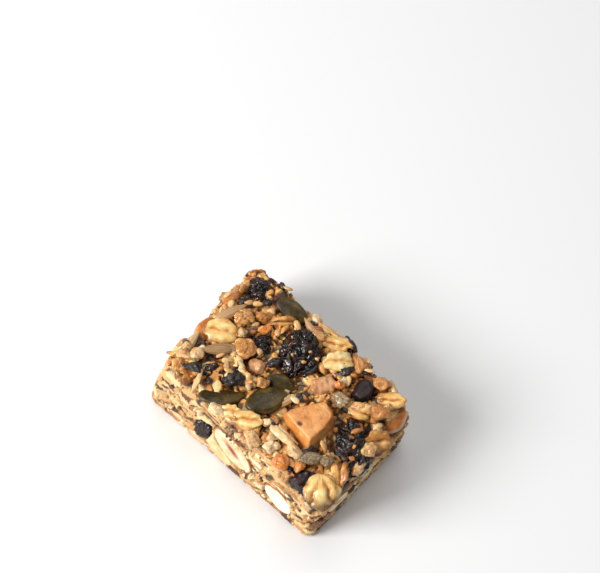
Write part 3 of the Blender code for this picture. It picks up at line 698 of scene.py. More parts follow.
# Smaller torn flakes strewn between them.
own_places, own_out = scattered("top", 60, 3.0 * MM, 2.0 * MM, 71)
rng = np.random.default_rng(72)
count = len(own_places)
sizes = np.array((4.2, 3.1, 1.2)) * rng.uniform(0.7, 1.4, (count, 3)) * MM
torn_forms, torn_relief = flake_forms(
    SMALL_BALL, sizes, 73, torn=0.16, cup=0.16, groove=0.12 * MM, crumple=0.12 * MM
)
fused(
    "torn_oats", torn_forms,
    top_frames(own_out) @ turns(rng.uniform((0, -32, -32), (360, 32, 32), (count, 3))),
    own_places + own_out * 0.1 * MM, SMALL_ROUNDS, oat_material, 74, relief=torn_relief.ravel(),
)


# --- Seeds ----------------------------------------------------------------------------------------
# Whole hulled seeds stirred into the mix: sesame, about 3 mm long and drawn to a point at one end,
# and sunflower kernels, about 9 mm long, pointed and faintly ribbed.


def seed_forms(ball, sizes, seed, point=0.45, rib=0.0):
    """Seeds, (n, m, 3), one of each row of (length, width, thickness): a ball pressed to its size
    and narrowed towards +X by point. rib raises lengthwise ridges by that depth."""
    rng = np.random.default_rng(seed)
    half = np.asarray(sizes)[:, None, :] / 2
    slender = 1 - point * (0.5 + 0.5 * ball[:, 0]) ** 1.6 + rng.normal(0, 0.03, (len(sizes), 1))
    shapes = np.stack([ball[:, 0] + 0 * slender, ball[:, 1] * slender, ball[:, 2] * slender], axis=2)
    shapes = shapes * half
    angle = np.arctan2(ball[:, 2], ball[:, 1])
    ridge = rib * np.cos(9 * angle) * np.hypot(ball[:, 1], ball[:, 2])
    around = np.stack([0 * angle, np.cos(angle), np.sin(angle)], axis=1)
    bow = rng.normal(0, 0.06, (len(sizes), 1)) * half[:, :, 0] * ball[:, 0] ** 2
    return shapes + ridge[:, None] * around + np.stack([0 * bow, bow, 0 * bow], axis=2)


def seed_surface(name, stops, roughness, coat):
    """The finish of a hulled seed: its skin colours from one seed to the next, faint lengthwise
    fibres, and the syrup's coat."""
    material, tree, shader = new_surface(name)
    tint = add(tree, "Attribute", attribute_name="tint").outputs["Fac"]
    own = add(tree, "Attribute", attribute_name="own").outputs["Vector"]
    skin = add(tree, "ValToRGB", {"Fac": tint}, stops)
    stretched = add(tree, "Mapping", {"Vector": own, "Scale": (0.4, 2.0, 2.0)})
    fibres = add(tree, "TexNoise", {"Vector": stretched.outputs[0], "Scale": 1.2, "Detail": 4.0})
    fibrous = add(
        tree, "Mix", {0: 0.5, 6: skin.outputs[0], 7: fibres.outputs["Fac"]}, data_type="RGBA",
        blend_type="SOFT_LIGHT",
    )
    # Painted shade towards the foot, where the seed meets the mix, as well as pooled syrup.
    foot = add(tree, "Attribute", attribute_name="foot").outputs["Fac"]
    pooled_and_shaded = add(tree, "Mix", {0: foot, 6: fibrous.outputs[2], 7: "#5f3818"}, data_type="RGBA")
    relief = add(tree, "Bump", {"Height": fibres.outputs["Fac"], "Strength": 0.5, "Distance": 0.12 * MM})
    feed(
        shader,
        {
            "Base Color": pooled_and_shaded.outputs[2], "Normal": relief.outputs[0], "Roughness": roughness,
            "Coat Weight": coat, "Coat Roughness": 0.15, "Subsurface Weight": 0.25,
            "Subsurface Radius": (1.0, 0.6, 0.35), "Subsurface Scale": 0.6 * MM,
        },
    )
    return material


# Hulled sesame: cream to honey, smooth and shiny with syrup.
sesame_surface = seed_surface(
    "hulled_sesame", [(0.0, "#c98f4e"), (0.5, "#e2b272"), (1.0, "#f0cf98")], 0.4, 0.5
)
# Sunflower kernel: grey-beige, ribbed and only half glazed.
kernel_surface = seed_surface(
    "sunflower_kernel", [(0.0, "#96704a"), (0.5, "#bd9262"), (1.0, "#dcba88")], 0.5, 0.35
)

SESAME_PLACES = (
    (-11.8, -8.6), (-11.2, -9.4), (-7.4, -7.4), (-14.0, -6.8), (-12.3, -4.5), (-9.6, -6.2), (-21.0, 8.6),
    (8.9, 9.6), (-8.4, 12.6),
)
SEED_ROUNDS = (6, 12)
SEED_BALL = unit_ball(*SEED_ROUNDS)

rng = np.random.default_rng(140)
own_places, own_out = on_top([(x, y, 1.0) for x, y in SESAME_PLACES])
more_places, more_out = scattered("top", 34, 3.0 * MM, 1.3 * MM, 141)
points = np.vstack([own_places, more_places + more_out * 0.9 * MM])
outward = np.vstack([own_out, more_out])
count = len(points)
sizes = np.array((3.1, 1.9, 1.0)) * rng.uniform(0.9, 1.1, (count, 3)) * MM
fused(
    "sesame_seeds", seed_forms(SEED_BALL, sizes, 142),
    top_frames(outward) @ turns(rng.uniform((0, -20, -25), (360, 20, 25), (count, 3))), points,
    SEED_ROUNDS, sesame_surface, 143,
)

# Sunflower kernels, in mm and degrees: (x, y, height), (turn, tilt, roll).
KERNELS = (
    ((-18.2, -6.8, 1.0), (227, 3, 0)), ((-17.6, -5.2, 0.4), (222, 0, 10)),
    ((14.4, -8.0, 0.2), (100, 4, 0)), ((-22.4, 3.6, 0.4), (72, 0, 0)), ((-4.4, 14.2, 0.3), (160, 6, 0)),
    ((2.4, -4.4, 0.0), (64, 0, 0)), ((-24.0, -9.6, -0.4), (100, 0, 0)),
)
KERNEL_ROUNDS = (20, 36)
kernel_places, _ = on_top([row[0] for row in KERNELS])
KERNEL_BALL = unit_ball(*KERNEL_ROUNDS)
fused(
    "sunflower_kernels",
    seed_forms(KERNEL_BALL, np.tile([9.0, 3.3, 2.4], (len(KERNELS), 1)) * MM, 151, 0.6, 0.05 * MM),
    turns([row[1] for row in KERNELS]), kernel_places, KERNEL_ROUNDS, kernel_surface, 152,
)
# One more lies along the foot of the front side, pale where the knife skinned it.
fused(
    "skinned_kernel", seed_forms(KERNEL_BALL, np.array([[7.2, 2.4, 1.8]]) * MM, 153, 0.5, 0.03 * MM),
    turns([(1, 0, 90)]), np.array([[-9.0, -19.0, 2.2]]) * MM, KERNEL_ROUNDS, kernel_surface, 154,
    tint=np.ones(len(KERNEL_BALL)), foot=np.zeros(len(KERNEL_BALL)),
)


# --- Nut crumbs, splinters and fruit bits ---------------------------------------------------------
# Chopped nuts and dried fruit in the mix: crumbs of 1 to 6 mm broken along flat faces, splinters of
# nut and coconut, bits of candied apricot, and scraps of chocolate and raisin. Beads and lumps of
# syrup have set between them.


def broken_forms(ball, sizes, seed, cuts=8, crisp=16.0, grit=0.1):
    """Broken crumbs, (n, m, 3), one of each row of (length, width, thickness): the radius in a
    direction is a high-power mean of that to cuts random planes and to the ball, so the faces are
    flat and their edges softer as crisp falls. grit roughens it by that share."""
    rng = np.random.default_rng(seed)
    normals = rng.normal(size=(len(sizes), cuts, 3))
    normals /= np.linalg.norm(normals, axis=2, keepdims=True)
    reach = rng.uniform(0.45, 0.95, (len(sizes), 1, cuts))
    facing = np.maximum(np.einsum("mi,nki->nmk", ball, normals), 0) / reach
    radius = (1 + (facing**crisp).sum(axis=2)) ** (-1 / crisp)
    shapes = ball[None] * radius[:, :, None]
    shapes = shapes / np.abs(shapes).max(axis=1, keepdims=True) * np.asarray(sizes)[:, None, :] / 2
    apart = shapes + rng.uniform(0, 99, (len(sizes), 1, 3)) * MM
    uneven = waves(apart.reshape(-1, 3), seed, 0.7 * MM, 2.2 * MM, 24).reshape(len(sizes), -1)
    return shapes * (1 + grit * uneven)[:, :, None]


def crumb_surface(name, stops, roughness, coat, depth=0.5, cloud="#8f5a2c", pool_and_shade="#5f3818"):
    """The finish of a broken crumb: its own colour from the stops, cloudy browned patches, a grainy
    broken face and the syrup's coat."""
    material, tree, shader = new_surface(name)
    tint = add(tree, "Attribute", attribute_name="tint").outputs["Fac"]
    own = add(tree, "Attribute", attribute_name="own").outputs["Vector"]
    flesh = add(tree, "ValToRGB", {"Fac": tint}, stops)
    clouds = add(tree, "TexNoise", {"Vector": own, "Scale": 0.7, "Detail": 4.0})
    grains = add(tree, "TexNoise", {"Vector": own, "Scale": 2.2, "Detail": 4.0})
    share = add(
        tree, "MapRange",
        {"Value": clouds.outputs["Fac"], "From Min": 0.45, "From Max": 0.65, "To Max": 0.5},
    )
    cloudy = add(tree, "Mix", {0: share.outputs[0], 6: flesh.outputs[0], 7: cloud}, data_type="RGBA")
    grainy = add(
        tree, "Mix", {0: 0.8, 6: cloudy.outputs[2], 7: grains.outputs["Fac"]}, data_type="RGBA",
        blend_type="SOFT_LIGHT",
    )
    # Painted shade towards the foot, where the crumb meets the mix, as well as pooled syrup.
    foot = add(tree, "Attribute", attribute_name="foot").outputs["Fac"]
    pooled_and_shaded = add(tree, "Mix", {0: foot, 6: grainy.outputs[2], 7: pool_and_shade}, data_type="RGBA")
    relief = add(tree, "Bump", {"Height": grains.outputs["Fac"], "Strength": 1.0, "Distance": 0.3 * MM})
    wet = add(tree, "Bump", {"Height": clouds.outputs["Fac"], "Strength": 0.7, "Distance": 0.5 * MM})
    feed(
        shader,
        {
            "Base Color": pooled_and_shaded.outputs[2], "Normal": relief.outputs[0], "Coat Normal": wet.outputs[0],
            "Roughness": roughness, "Coat Weight": coat, "Coat Roughness": 0.1,
            "Subsurface Weight": depth, "Subsurface Radius": (1.0, 0.55, 0.3),
            "Subsurface Scale": 1.2 * MM,
        },
    )
    return material


# Chopped roast nut in syrup: honey to caramel, satin where broken, shiny where the syrup ran.
nut_crumb_surface = crumb_surface(
    "syruped_nut_crumb",
    [(0.0, "#a5632c"), (0.3, "#cd8742"), (0.6, "#e6a862"), (0.85, "#f0c48a"), (1.0, "#f7dfb2")], 0.42,
    0.5,
)
# Dark scraps: chocolate and raisin torn small, purple-brown and sticky.
dark_bit_surface = crumb_surface(
    "chocolate_and_raisin_scrap", [(0.0, "#100c0b"), (0.5, "#231916"), (1.0, "#3d2c27")], 0.4, 0.5,
    depth=0.0, cloud="#4c3a35", pool_and_shade="#0c0807",
)
# Candied apricot bits: saturated orange, soft edged and translucent.
orange_bit_surface = crumb_surface(
    "candied_apricot_bit", [(0.0, "#c8702a"), (0.5, "#e08a3c"), (1.0, "#ee9f52")], 0.3, 0.6, depth=0.4,
    cloud="#b25a1e",
)
# Set syrup: caramel that pooled between the pieces, glassy and amber.
syrup_surface = crumb_surface(
    "set_caramel_syrup", [(0.0, "#a8682f"), (0.5, "#d09048"), (1.0, "#ecbf83")], 0.15, 1.0, depth=0.8,
    cloud="#b97c42",
)

# Clear syrup: a grey, glassy lump, where the dark fruit under it shows through.
clear_syrup_surface = crumb_surface(
    "clear_set_syrup", [(0.0, "#8a7350"), (0.5, "#a88d64"), (1.0, "#c0a67c")], 0.12, 1.0, depth=0.6,
    cloud="#6b543c",
)

CRUMB_ROUNDS = (8, 14)
CRUMB_BALL = unit_ball(*CRUMB_ROUNDS)
BIT_ROUNDS = (24, 36)
BIT_BALL = unit_ball(*BIT_ROUNDS)


def strewn_crumbs(name, count, size, spacing, reach, lift, surface, seed, crisp=16.0):
    """A piece of many broken crumbs strewn over the top."""
    rng = np.random.default_rng(seed)
    points, outward = scattered("top", count, spacing, reach, seed + 1)
    sizes = np.array(size) * rng.uniform(0.6, 1.35, (len(points), 3)) * MM
    angles = rng.uniform((0, -40, -40), (360, 40, 40), (len(points), 3))
    fused(
        name, broken_forms(CRUMB_BALL, sizes, seed + 2, crisp=crisp), top_frames(outward) @ turns(angles),
        points + outward * lift * MM, CRUMB_ROUNDS, surface, seed + 3,
    )


def placed_bits(name, rows, surface, seed, crisp=16.0, grit=0.12, **extra):
    """A piece of broken bits set one by one on top, from rows of (x, y, height), (length, width,
    thickness) and (turn, tilt, roll), in mm and degrees."""
    points, _ = on_top([row[0] for row in rows])
    sizes = np.array([row[1] for row in rows]) * MM
    shapes = broken_forms(BIT_BALL, sizes, seed, crisp=crisp, grit=grit)
    frames = turns([row[2] for row in rows])
    fused(name, shapes, frames, points, BIT_ROUNDS, surface, seed + 1, **extra)


strewn_crumbs("nut_crumbs", 110, (3.0, 2.4, 2.0), 2.6 * MM, 1.2 * MM, 0.3, nut_crumb_surface, 161)
strewn_crumbs("syrup_beads", 30, (2.4, 2.0, 1.2), 3.4 * MM, 1.4 * MM, 0.3, syrup_surface, 171, 4.0)
strewn_crumbs("dark_scraps", 30, (2.6, 2.0, 1.6), 4.0 * MM, 1.0 * MM, 0.2, dark_bit_surface, 181)

placed_bits(
    "nut_bits",
    (
        ((8.2, -15.9, 1.2), (3.6, 3.2, 2.6), (60, 0, 0)),
        ((13.1, -12.7, 1.4), (4.2, 3.5, 2.8), (0, 0, 0)),
        ((17.0, 15.2, 1.2), (4.8, 4.2, 3.0), (30, 0, 0)),
        ((-19.0, 5.0, 1.2), (4.8, 3.8, 3.0), (0, 0, 0)),
        ((-16.2, 7.6, 1.0), (3.6, 3.0, 2.8), (25, 0, 0)),
        ((21.2, 9.4, 1.4), (6.3, 4.2, 3.4), (31, 0, 10)),
        ((-4.6, -5.0, 1.2), (4.6, 3.2, 2.6), (59, 0, 0)),
        ((-22.6, -13.2, 0.4), (4.6, 3.6, 3.0), (40, 0, 0)),
        ((-20.4, -10.8, 0.8), (4.0, 3.4, 2.6), (110, 0, 0)),
        ((9.2, 15.4, 0.9), (4.4, 3.2, 2.6), (140, 0, 0)),
        ((-7.2, -17.4, 0.2), (5.0, 3.6, 3.0), (10, 0, 0)),
        ((3.6, -17.2, 0.2), (5.4, 3.8, 3.2), (160, 0, 0)),
    ),
    nut_crumb_surface, 191, crisp=22.0,
    tint=np.repeat([0.95, 0.9, 0.45, 0.5, 0.3, 0.35, 0.6, 0.8, 0.9, 0.4, 0.95, 0.85], len(BIT_BALL)),
)
placed_bits(
    "orange_bits",
    (
        ((9.4, 7.9, 1.4), (3.4, 2.2, 2.2), (20, 0, 0)),
        ((12.6, -16.6, 0.9), (4.4, 4.0, 3.4), (24, 0, 0)),
        ((16.3, -14.6, 1.0), (3.4, 2.6, 2.4), (72, 0, 0)),
        ((-13.2, 6.2, 1.0), (4.2, 2.4, 2.2), (54, 0, 0)),
        ((-24.6, 6.0, -0.6), (6.4, 3.0, 2.6), (86, 0, 0)),
    ),
    orange_bit_surface, 201, crisp=8.0,
)
placed_bits(
    "dark_bits",
    (
        ((-18.6, -13.6, 0.9), (5.6, 3.2, 2.6), (34, 0, 0)),
        ((-10.6, -9.6, 0.8), (6.6, 4.6, 2.8), (36, 0, 0)),
        ((7.8, 11.6, 0.7), (4.6, 3.0, 2.4), (67, 0, 0)),
        ((4.6, -0.6, 0.6), (3.6, 3.0, 2.2), (32, 0, 0)),
        ((-6.0, 0.8, 0.5), (4.0, 2.6, 2.2), (60, 0, 0)),
        ((15.6, -10.6, 0.6), (5.0, 2.6, 2.4), (70, 0, 0)),
        ((3.2, 19.0, -0.4), (6.0, 3.2, 2.4), (0, 0, 0)),
    ),
    dark_bit_surface, 211, grit=0.2,
)

# Lumps of set syrup with oat dust in them, and grains of puffed millet, round and dull.
placed_bits(
    "syrup_lumps",
    (
        ((18.0, 7.6, 1.2), (5.4, 3.4, 3.0), (20, 0, 0)),
        ((-13.0, -1.4, 1.0), (5.0, 4.4, 3.0), (50, 0, 0)),
        ((-19.4, 3.4, 1.0), (4.4, 3.6, 2.8), (10, 0, 0)),
        ((21.4, 11.6, 1.0), (4.2, 3.0, 2.4), (60, 0, 0)),
        ((25.4, 0.6, 0.2), (5.4, 3.6, 3.0), (70, 0, 10)),
        ((26.0, -4.2, -0.6), (4.6, 3.4, 2.8), (100, 0, 0)),
        ((-25.2, 9.6, -0.2), (9.0, 2.6, 2.6), (88, 0, 0)),
        ((-3.4, 14.0, 0.8), (4.4, 3.4, 2.6), (20, 0, 0)),
    ),
    syrup_surface, 231, crisp=7.0, grit=0.16,
    tint=np.repeat([0.75, 0.5, 0.6, 0.9, 0.95, 0.8, 0.45, 0.6], len(BIT_BALL)),
)
placed_bits(
    "clear_syrup_lumps",
    (
        ((11.8, 5.3, 1.4), (5.2, 4.7, 3.4), (20, 0, 0)),
        ((17.4, -11.2, 1.0), (5.6, 3.8, 2.8), (40, 0, 0)),
        ((20.4, -9.4, 1.0), (4.4, 3.2, 2.4), (80, 0, 0)),
        ((15.2, -13.0, 0.8), (3.6, 2.8, 2.2), (10, 0, 0)),
    ),
    clear_syrup_surface, 236, crisp=6.0, grit=0.14,
)
placed_bits(
    "puffed_millet",
    (
        ((-7.5, -6.7, 1.2), (2.3, 2.1, 2.0), (0, 0, 0)),
        ((-5.9, -8.2, 1.1), (2.0, 1.9, 1.8), (0, 0, 0)),
        ((-13.4, -8.2, 1.2), (2.2, 2.0, 1.8), (0, 0, 0)),
        ((8.9, -15.0, 1.3), (2.6, 2.3, 2.2), (0, 0, 0)),
        ((10.6, -16.4, 1.1), (2.4, 2.2, 2.0), (0, 0, 0)),
        ((6.9, -14.2, 1.2), (2.3, 2.1, 1.9), (0, 0, 0)),
        ((-10.2, 0.4, 1.0), (2.1, 2.0, 1.8), (0, 0, 0)),
        ((2.6, 10.2, 1.0), (2.2, 2.0, 1.8), (0, 0, 0)),
        ((-16.8, 1.2, 1.1), (2.3, 2.1, 1.9), (0, 0, 0)),
    ),
    kernel_surface, 241, crisp=4.0, grit=0.03,
    tint=np.repeat([0.5, 0.7, 0.6, 1.0, 0.9, 0.95, 0.6, 0.7, 0.8], len(BIT_BALL)),
)

# Crumbs stuck to the two large raisins.
placed_bits(
    "stuck_crumbs",
    (
        ((-4.5, 9.5, 3.1), (1.5, 1.2, 1.0), (10, 0, 0)),
        ((-1.0, 8.5, 3.3), (1.2, 1.0, 0.8), (40, 0, 0)),
        ((-3.6, 5.4, 3.1), (1.6, 1.1, 0.9), (70, 0, 0)),
        ((-0.6, 5.6, 2.9), (1.3, 1.1, 0.9), (20, 0, 0)),
        ((-5.8, 6.6, 2.8), (1.8, 1.2, 1.0), (120, 0, 0)),
        ((1.2, 8.8, 2.3), (1.4, 1.2, 1.0), (0, 0, 0)),
        ((-6.6, 9.4, 2.0), (2.0, 1.4, 1.2), (50, 0, 0)),
        ((20.4, 1.6, 2.2), (3.4, 1.5, 1.1), (70, 0, 0)),
        ((20.6, -0.6, 2.4), (1.4, 1.1, 0.9), (30, 0, 0)),
        ((22.6, -2.0, 2.2), (1.3, 1.0, 0.8), (80, 0, 0)),
        ((24.0, -4.2, 1.2), (1.6, 1.2, 1.0), (10, 0, 0)),
    ),
    nut_crumb_surface, 251, foot=np.zeros(11 * len(BIT_BALL)),
)

# Splinters of nut and coconut: long, thin and square-edged.
placed_bits(
    "splinters",
    (
        ((-15.3, -16.2, 1.4), (8.2, 1.7, 1.6), (-67, 8, 0)),
        ((8.7, -12.2, 1.1), (9.4, 2.6, 1.8), (-4, 3, 0)),
        ((8.2, -10.9, 0.9), (8.6, 1.8, 1.4), (3, 0, 20)),
        ((-1.2, 18.2, 0.8), (8.6, 1.8, 1.5), (10, 0, 0)),
        ((19.6, 17.0, 0.6), (6.4, 1.8, 1.4), (-20, 0, 0)),
    ),
    sesame_surface, 221, tint=np.full(5 * len(BIT_BALL), 0.8),
)


# --- Raisins --------------------------------------------------------------------------------------
# Dried black grapes, 5 to 15 mm long, pressed into the mix before baking. The skin shrinks over the
# flesh into deep meandering folds with finer ones across them, dark, sticky and shiny. Those at the
# cut sides are sliced flush.


def long_ball(rings, segments):
    """A ball whose poles are its two ends along X."""
    return unit_ball(rings, segments)[:, [2, 0, 1]]


def side_frame(side):
    """The frame of a cut side, its origin and its axes as columns: the origin at the middle of the
    side's foot, X along the side, Y into the slab and Z up the side, which leans in."""
    start, end = {
        "front": ((0, 0), (0, 1)), "right": ((0, 1), (1, 1)), "back": ((1, 1), (1, 0)),
        "left": ((1, 0), (0, 0)),
    }[side]
    middle = (FOOT_CORNERS[start] + FOOT_CORNERS[end]) / 2
    run = FOOT_CORNERS[end] - FOOT_CORNERS[start]
    run /= np.linalg.norm(run)
    inset = ((TOP_CORNERS[start] + TOP_CORNERS[end]) / 2 - middle) @ np.array([-run[1], run[0]])
    lean = math.atan2(inset, HEIGHT)
    along = np.array([run[0], run[1], 0.0])
    level = np.array([-run[1], run[0], 0.0])
    up = np.array([0.0, 0.0, 1.0])
    inward = math.cos(lean) * level - math.sin(lean) * up
    return np.array([*middle, 0.0]), np.stack([along, inward, np.cross(along, inward)], axis=1)


def fitted(points, name):
    """The points stretched along each axis to fill the box of their CAD node."""
    low, high = np.array(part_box(name))
    start, end = points.min(axis=0), points.max(axis=0)
    return low + (points - start) / (end - start) * (high - low)


CUT_PROUD = 0.15 * MM  # how far a sliced piece stands out of the cut side
CUT_EDGE = 42  # degrees: edges bent by more stay crisp, such as the rim of the slice


def lodged(name, form, angles, rounds, surface, slot, **fields):
    """A topping from its form, centred on the origin with its length along X: turned and put in the
    place of its CAD node, which is hidden."""
    placed = fitted(form @ turns([angles])[0].T, name)
    own = form / MM
    rim = np.linalg.norm(form[:, :2] / np.abs(form[:, :2]).max(axis=0), axis=1)
    faces = ball_faces(1, *rounds)
    piece = new_piece(name + "_piece", placed, faces, surface, own=own, rim=rim, **fields)
    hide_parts(name)


def sliced(name, form, side, sunk, tilt, rounds, surface, slot, **fields):
    """A piece that the knife went through, sunk below the cut side, tilted in its plane and sliced
    flush with it: turned, cut and put in the place of its CAD node, which is hidden."""
    _, axes = side_frame(side)
    shapes, cut = sliced_flush(form[None], sunk + CUT_PROUD)
    level = shapes[0]
    placed = fitted(level @ turns([(0, tilt, 0)])[0].T @ axes.T, name)
    rim = np.linalg.norm(level[:, [0, 2]] / np.abs(level[:, [0, 2]]).max(axis=0), axis=1)
    piece = new_piece(
        name + "_piece", placed, ball_faces(1, *rounds), surface, CUT_EDGE, own=level / MM, rim=rim,
        cut=cut[0], **fields,
    )
    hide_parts(name)


def wrinkled(ball, size, seed):
    """A dried grape, and how far each point stands out: a ball pressed to its size with broad
    dents, whose skin sinks along the lines where a smooth uneven field is zero, in folds of about
    2.6, 1.2 and 0.6 mm on a large one, each finer one bent by the one before."""
    body = ball * np.array(size) * MM / 2
    spread = float(np.mean(size)) * MM
    bent = body * np.array([0.75, 1.0, 1.0])
    depth = np.zeros(len(ball))
    scale = min(1.0, 0.35 + float(np.mean(size)) / 16)
    for share, short, reach in ((0.95, 2.6, 0.42), (0.45, 1.2, 0.36), (0.16, 0.6, 0.3)):
        share, short = share * scale, short * scale
        pull = [waves(bent, seed + 3 + axis, 2 * short * MM, 4 * short * MM) for axis in range(3)]
        bent = bent + 0.3 * short * MM * np.stack(pull, axis=1)
        field = np.abs(waves(bent, seed, short * MM, 2.4 * short * MM))
        depth += share * MM * (np.minimum(field / reach, 1) ** 0.7 - 1)
        seed += 10
    swell = 0.12 * waves(body, seed, 0.45 * spread, 0.9 * spread)
    facing = ball / np.array(size)
    facing /= np.linalg.norm(facing, axis=1, keepdims=True)
    form = body * (1 + swell)[:, None] + facing * depth[:, None]
    return form, np.clip(1 + depth / (1.3 * scale * MM), 0, 1)


# Raisin skin: almost black, with painted shade deep in its folds and a lighter wine-brown on the
# ridges as painted light. It is wet with syrup, so it glints on every fold but duller where the knife
# cut it, with a crust of sugar in a few places.
raisin_surface, tree, shader = new_surface("sticky_raisin_skin")
own = add(tree, "Attribute", attribute_name="own").outputs["Vector"]
ridge = add(tree, "Attribute", attribute_name="ridge").outputs["Fac"]
# Painted shade and light: the colour runs from black deep in each fold to wine-brown on the ridges.
skin = add(
    tree, "ValToRGB", {"Fac": ridge},
    [(0.0, "#030101"), (0.45, "#0a0504"), (0.8, "#190d09"), (1.0, "#38211a")],
)
fine = add(tree, "TexNoise", {"Vector": own, "Scale": 1.3, "Detail": 3.0, "Roughness": 0.6})
sugar = add(tree, "TexNoise", {"Vector": own, "Scale": 2.4, "Detail": 3.0})
dust = add(
    tree, "MapRange", {"Value": sugar.outputs["Fac"], "From Min": 0.63, "From Max": 0.7, "To Max": 0.7},
)
dusted = add(tree, "Mix", {0: dust.outputs[0], 6: skin.outputs[0], 7: "#7d5638"}, data_type="RGBA")
pucker = add(tree, "Bump", {"Height": fine.outputs["Fac"], "Strength": 1.0, "Distance": 0.45 * MM})
cut = add(tree, "Attribute", attribute_name="cut").outputs["Fac"]
wet = add(tree, "MapRange", {"Value": cut, "To Min": 1.0, "To Max": 0.1})
feed(
    shader,
    {
        "Base Color": dusted.outputs[2], "Normal": pucker.outputs[0], "Roughness": 0.3,
        "Specular IOR Level": 0.1, "Coat Weight": wet.outputs[0], "Coat Roughness": 0.08,
    },
)

LARGE_RAISIN_ROUNDS, SMALL_RAISIN_ROUNDS = (150, 190), (80, 110)
LARGE_RAISIN = 8  # mm long

# Raisins on top: name, (length, width, thickness), (turn, tilt, roll).
RAISINS = (
    ("raisin_back", (13.0, 11.2, 8.6), (136, 4, 0)),
    ("raisin_round", (6.0, 5.0, 4.4), (38, 0, 0)),
    ("raisin_long", (14.8, 9.6, 8.0), (-35, -10, 0)),
    ("raisin_left", (6.6, 5.4, 5.4), (40, 0, 0)),
    ("raisin_corner", (7.4, 6.4, 5.6), (15, 0, 0)),
)
for number, (name, size, angles) in enumerate(RAISINS):
    rounds = LARGE_RAISIN_ROUNDS if size[0] > LARGE_RAISIN else SMALL_RAISIN_ROUNDS
    form, ridge = wrinkled(long_ball(*rounds), size, 300 + 50 * number)
    lodged(name, form, angles, rounds, raisin_surface, "raisin", ridge=ridge)

# Sliced raisins: name, side, (length, depth, height), how far the middle is sunk, tilt.
SLICED_RAISINS = (
    ("raisin_cut_front", "front", (4.6, 5.4, 9.6), 0.8, -8),
    ("raisin_cut_back", "back", (11.0, 6.4, 6.6), 0.8, -12),
    ("raisin_cut_left", "left", (9.0, 5.6, 5.6), 0.8, -10),
    ("raisin_cut_right", "right", (7.0, 5.6, 4.8), 0.8, 14),
)
for number, (name, side, size, sunk, tilt) in enumerate(SLICED_RAISINS):
    rounds = SMALL_RAISIN_ROUNDS
    form, ridge = wrinkled(long_ball(*rounds), size, 600 + 50 * number)
    sliced(name, form, side, sunk * MM, tilt, rounds, raisin_surface, "raisin", ridge=ridge)


# --- Nuts -----------------------------------------------------------------------------------------
# Roasted nuts, chopped by hand: one large tan chunk with flat broken faces, a beige chip and a small
# round one on top. The knife sliced others at the sides, cream inside with a browner roasted skin.


def hewn(ball, size, planes, crisp):
    """A chunk broken along flat faces, (m, 3): the radius in a direction is a high-power mean of
    that to each plane. planes are rows of a normal and its distance from the middle, in mm, and the
    edges are softer as crisp falls."""
    planes = np.asarray(planes, float)
    normals = planes[:, :3] / np.linalg.norm(planes[:, :3], axis=1, keepdims=True)
    facing = np.maximum(ball @ normals.T, 0) / planes[:, 3]
    radius = (facing**crisp).sum(axis=1) ** (-1 / crisp)
    form = ball * radius[:, None]
    return form / np.ptp(form, axis=0) * np.array(size) * MM


def walled(outline, lean, top, base):
    """The planes of a chunk with this outline, in mm: a wall on each edge, leaning in by lean, and
    a top and a base at their heights."""
    corners = np.asarray(outline, float)
    edge = np.roll(corners, -1, axis=0) - corners
    normals = np.column_stack([edge[:, 1], -edge[:, 0]]) / np.linalg.norm(edge, axis=1, keepdims=True)
    if (np.einsum("ni,ni->n", normals, corners) < 0).any():
        normals = -normals
    reach = np.einsum("ni,ni->n", normals, corners)
    walls = np.column_stack([normals, np.full(len(normals), lean), reach])
    return np.vstack([walls, [[*top[:3], top[3]], [0, 0, -1, base]]])


def roughened(form, depth, seed, short=1.4, reach=4.0):
    """The form with a smooth unevenness of this depth, along the direction from its middle."""
    outward = form / np.linalg.norm(form, axis=1, keepdims=True)
    return form + outward * (depth * waves(form, seed, short * MM, reach * MM))[:, None]


def nut_surface(name, base, warm, fleck, flecks):
    """The finish of roasted nut flesh: its base colour warmed in clouds, red-brown flecks of skin,
    and a waxy satin that the syrup has wetted in places."""
    material, tree, shader = new_surface(name)
    own = add(tree, "Attribute", attribute_name="own").outputs["Vector"]
    spot = add(tree, "Attribute", attribute_name="spot").outputs["Fac"]
    clouds = add(tree, "TexNoise", {"Vector": own, "Scale": 0.28, "Detail": 3.0})
    grains = add(tree, "TexNoise", {"Vector": own, "Scale": 1.6, "Detail": 5.0})
    skin = add(tree, "TexNoise", {"Vector": own, "Scale": 0.75, "Detail": 4.0, "Roughness": 0.65})
    warmth = add(tree, "MapRange", {"Value": clouds.outputs["Fac"], "From Min": 0.35, "From Max": 0.65})
    warmed = add(tree, "Mix", {0: warmth.outputs[0], 6: base, 7: warm}, data_type="RGBA")
    fleck_share = add(
        tree, "MapRange",
        {"Value": skin.outputs["Fac"], "From Min": 0.58, "From Max": 0.7, "To Max": flecks},
    )
    flecked = add(
        tree, "Mix", {0: fleck_share.outputs[0], 6: warmed.outputs[2], 7: fleck}, data_type="RGBA"
    )
    grainy = add(
        tree, "Mix", {0: 0.3, 6: flecked.outputs[2], 7: grains.outputs["Fac"]}, data_type="RGBA",
        blend_type="SOFT_LIGHT",
    )
    spotted = add(tree, "Mix", {0: spot, 6: grainy.outputs[2], 7: "#4a1d14"}, data_type="RGBA")
    relief = add(tree, "Bump", {"Height": grains.outputs["Fac"], "Strength": 0.7, "Distance": 0.25 * MM})
    feed(
        shader,
        {
            "Base Color": spotted.outputs[2], "Normal": relief.outputs[0], "Roughness": 0.38,
            "Coat Weight": 0.35, "Coat Roughness": 0.2, "Subsurface Weight": 0.4,
            "Subsurface Radius": (1.0, 0.5, 0.25), "Subsurface Scale": 1.2 * MM,
        },
    )
    return material


# Tan nut flesh: peach to honey, waxy, with red-brown flecks of its skin.
tan_nut_surface = nut_surface("roasted_nut_flesh", "#dc8a40", "#f0ad63", "#9c4f25", 0.55)
